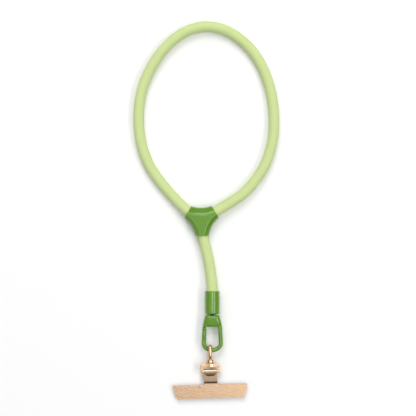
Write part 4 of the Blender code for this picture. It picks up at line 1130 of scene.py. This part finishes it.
deselect()
bpy.ops.mesh.primitive_circle_add(vertices=len(plate_outline), fill_type="NGON")
patch = bpy.context.object
patch.name = "patch_sheet"
for vertex, place in zip(patch.data.vertices, plate_outline):
    vertex.co = pin_place + place

tab_rows = []                       # reach from the pin, height over it, half width
for k in range(1, STEP_ROWS + 1):
    t = k / STEP_ROWS
    ease = t * t * (3 - 2 * t)
    rise = (STEP_DROP - TAB_FALL) * ease
    tab_rows.append((-STEP_START - STEP_RUN * (1 - t), plate_height + rise, TAB_WIDTH / 2))
for way in (0.8, 0.6, 0.4, 0.2):
    tab_rows.append((-STEP_START * way, -CURL_RADIUS - TAB_FALL * way, TAB_WIDTH / 2))
for k in range(CURL_ROWS + 1):
    angle = math.radians(-90 + 180 * k / CURL_ROWS)
    tab_rows.append((CURL_RADIUS * math.cos(angle), CURL_RADIUS * math.sin(angle), TAB_WIDTH / 2))
free_end = -CURL_RADIUS + SHEET + RUNNING_GAP
for k in range(1, TONGUE_ROWS + 1):
    t = k / TONGUE_ROWS
    taper = max(0.0, (t - TONGUE_TAPER) / (1 - TONGUE_TAPER))
    half = (TAB_WIDTH + (TONGUE_END_WIDTH - TAB_WIDTH) * taper) / 2
    tab_rows.append((-TONGUE_REACH * t, free_end + (CURL_RADIUS - free_end) * (1 - t ** TONGUE_BEND), half))

tab_low = PIN_Y - PLATE_START - MM / 10
pick(patch, "EDGE", lambda edge: all(
    abs(abs(corner.co.x - pin_place.x) - TAB_WIDTH / 2) < MM / 100 and corner.co.y > tab_low
    for corner in edge.verts))
for reach, height, half in tab_rows:
    bpy.ops.mesh.extrude_region_move()
    shape = bmesh.from_edit_mesh(patch.data)
    for corner in (part for part in shape.verts if part.select):
        side = 1 if corner.co.x > pin_place.x else -1
        corner.co = pin_place + Vector((side * half, reach, height))
    bmesh.update_edit_mesh(patch.data)
bpy.ops.mesh.select_all(action="SELECT")
bpy.ops.mesh.normals_make_consistent(inside=False)
close_mesh()
modify(patch, "SOLIDIFY", thickness=SHEET, offset=0.0, use_even_offset=True)
soften(patch, 0.1 * MM, segments=2, angle=50)
patch.data.transform(Matrix.Translation(pin_place) @ Matrix.Rotation(math.radians(PLATE_SKEW), 4, "Z")
                     @ Matrix.Translation(-pin_place))


SHEET_DEEP = "#b29479"
SHEET_PALE = "#c5a88a"
STROKE_LENGTH = 14 * MM
STROKE_WIDTH = 0.35 * MM            # drawn coarser than brushing is, to show


def brushed_gold(name):
    """Sheet brushed along its length and plated rose gold: fine long scratches that widen the highlights."""
    made, tree, shader = new_material(name)
    body = add_node(tree, "ShaderNodeTexCoord")
    turned = add_node(tree, "ShaderNodeMapping", {
        "Vector": body.outputs["Object"], "Rotation": (0.0, 0.0, -math.radians(PLATE_SKEW)),
        "Scale": (1 / STROKE_LENGTH, 1 / STROKE_WIDTH, 1 / STROKE_WIDTH)})
    strokes = add_node(tree, "ShaderNodeTexNoise", {"Vector": turned.outputs[0], "Scale": 1.0, "Detail": 4.0})
    colour = add_node(tree, "ShaderNodeMix", {
        0: strokes.outputs["Fac"], 6: linear(SHEET_DEEP), 7: linear(SHEET_PALE)}, data_type="RGBA")
    rough = add_node(tree, "ShaderNodeMapRange", {0: strokes.outputs["Fac"], 1: 0.3, 2: 0.7, 3: 0.2, 4: 0.3})
    bump = add_node(tree, "ShaderNodeBump", {
        "Strength": 0.5, "Distance": 0.02 * MM, "Height": strokes.outputs["Fac"]})
    tree.links.new(colour.outputs[2], shader.inputs["Base Color"])
    tree.links.new(rough.outputs[0], shader.inputs["Roughness"])
    tree.links.new(bump.outputs[0], shader.inputs["Normal"])
    shader.inputs["Metallic"].default_value = 1.0
    return made


dress(patch, brushed_gold("rose_gold_plated_brushed_sheet"))
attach(patch, "patch")
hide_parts("patch_plate")
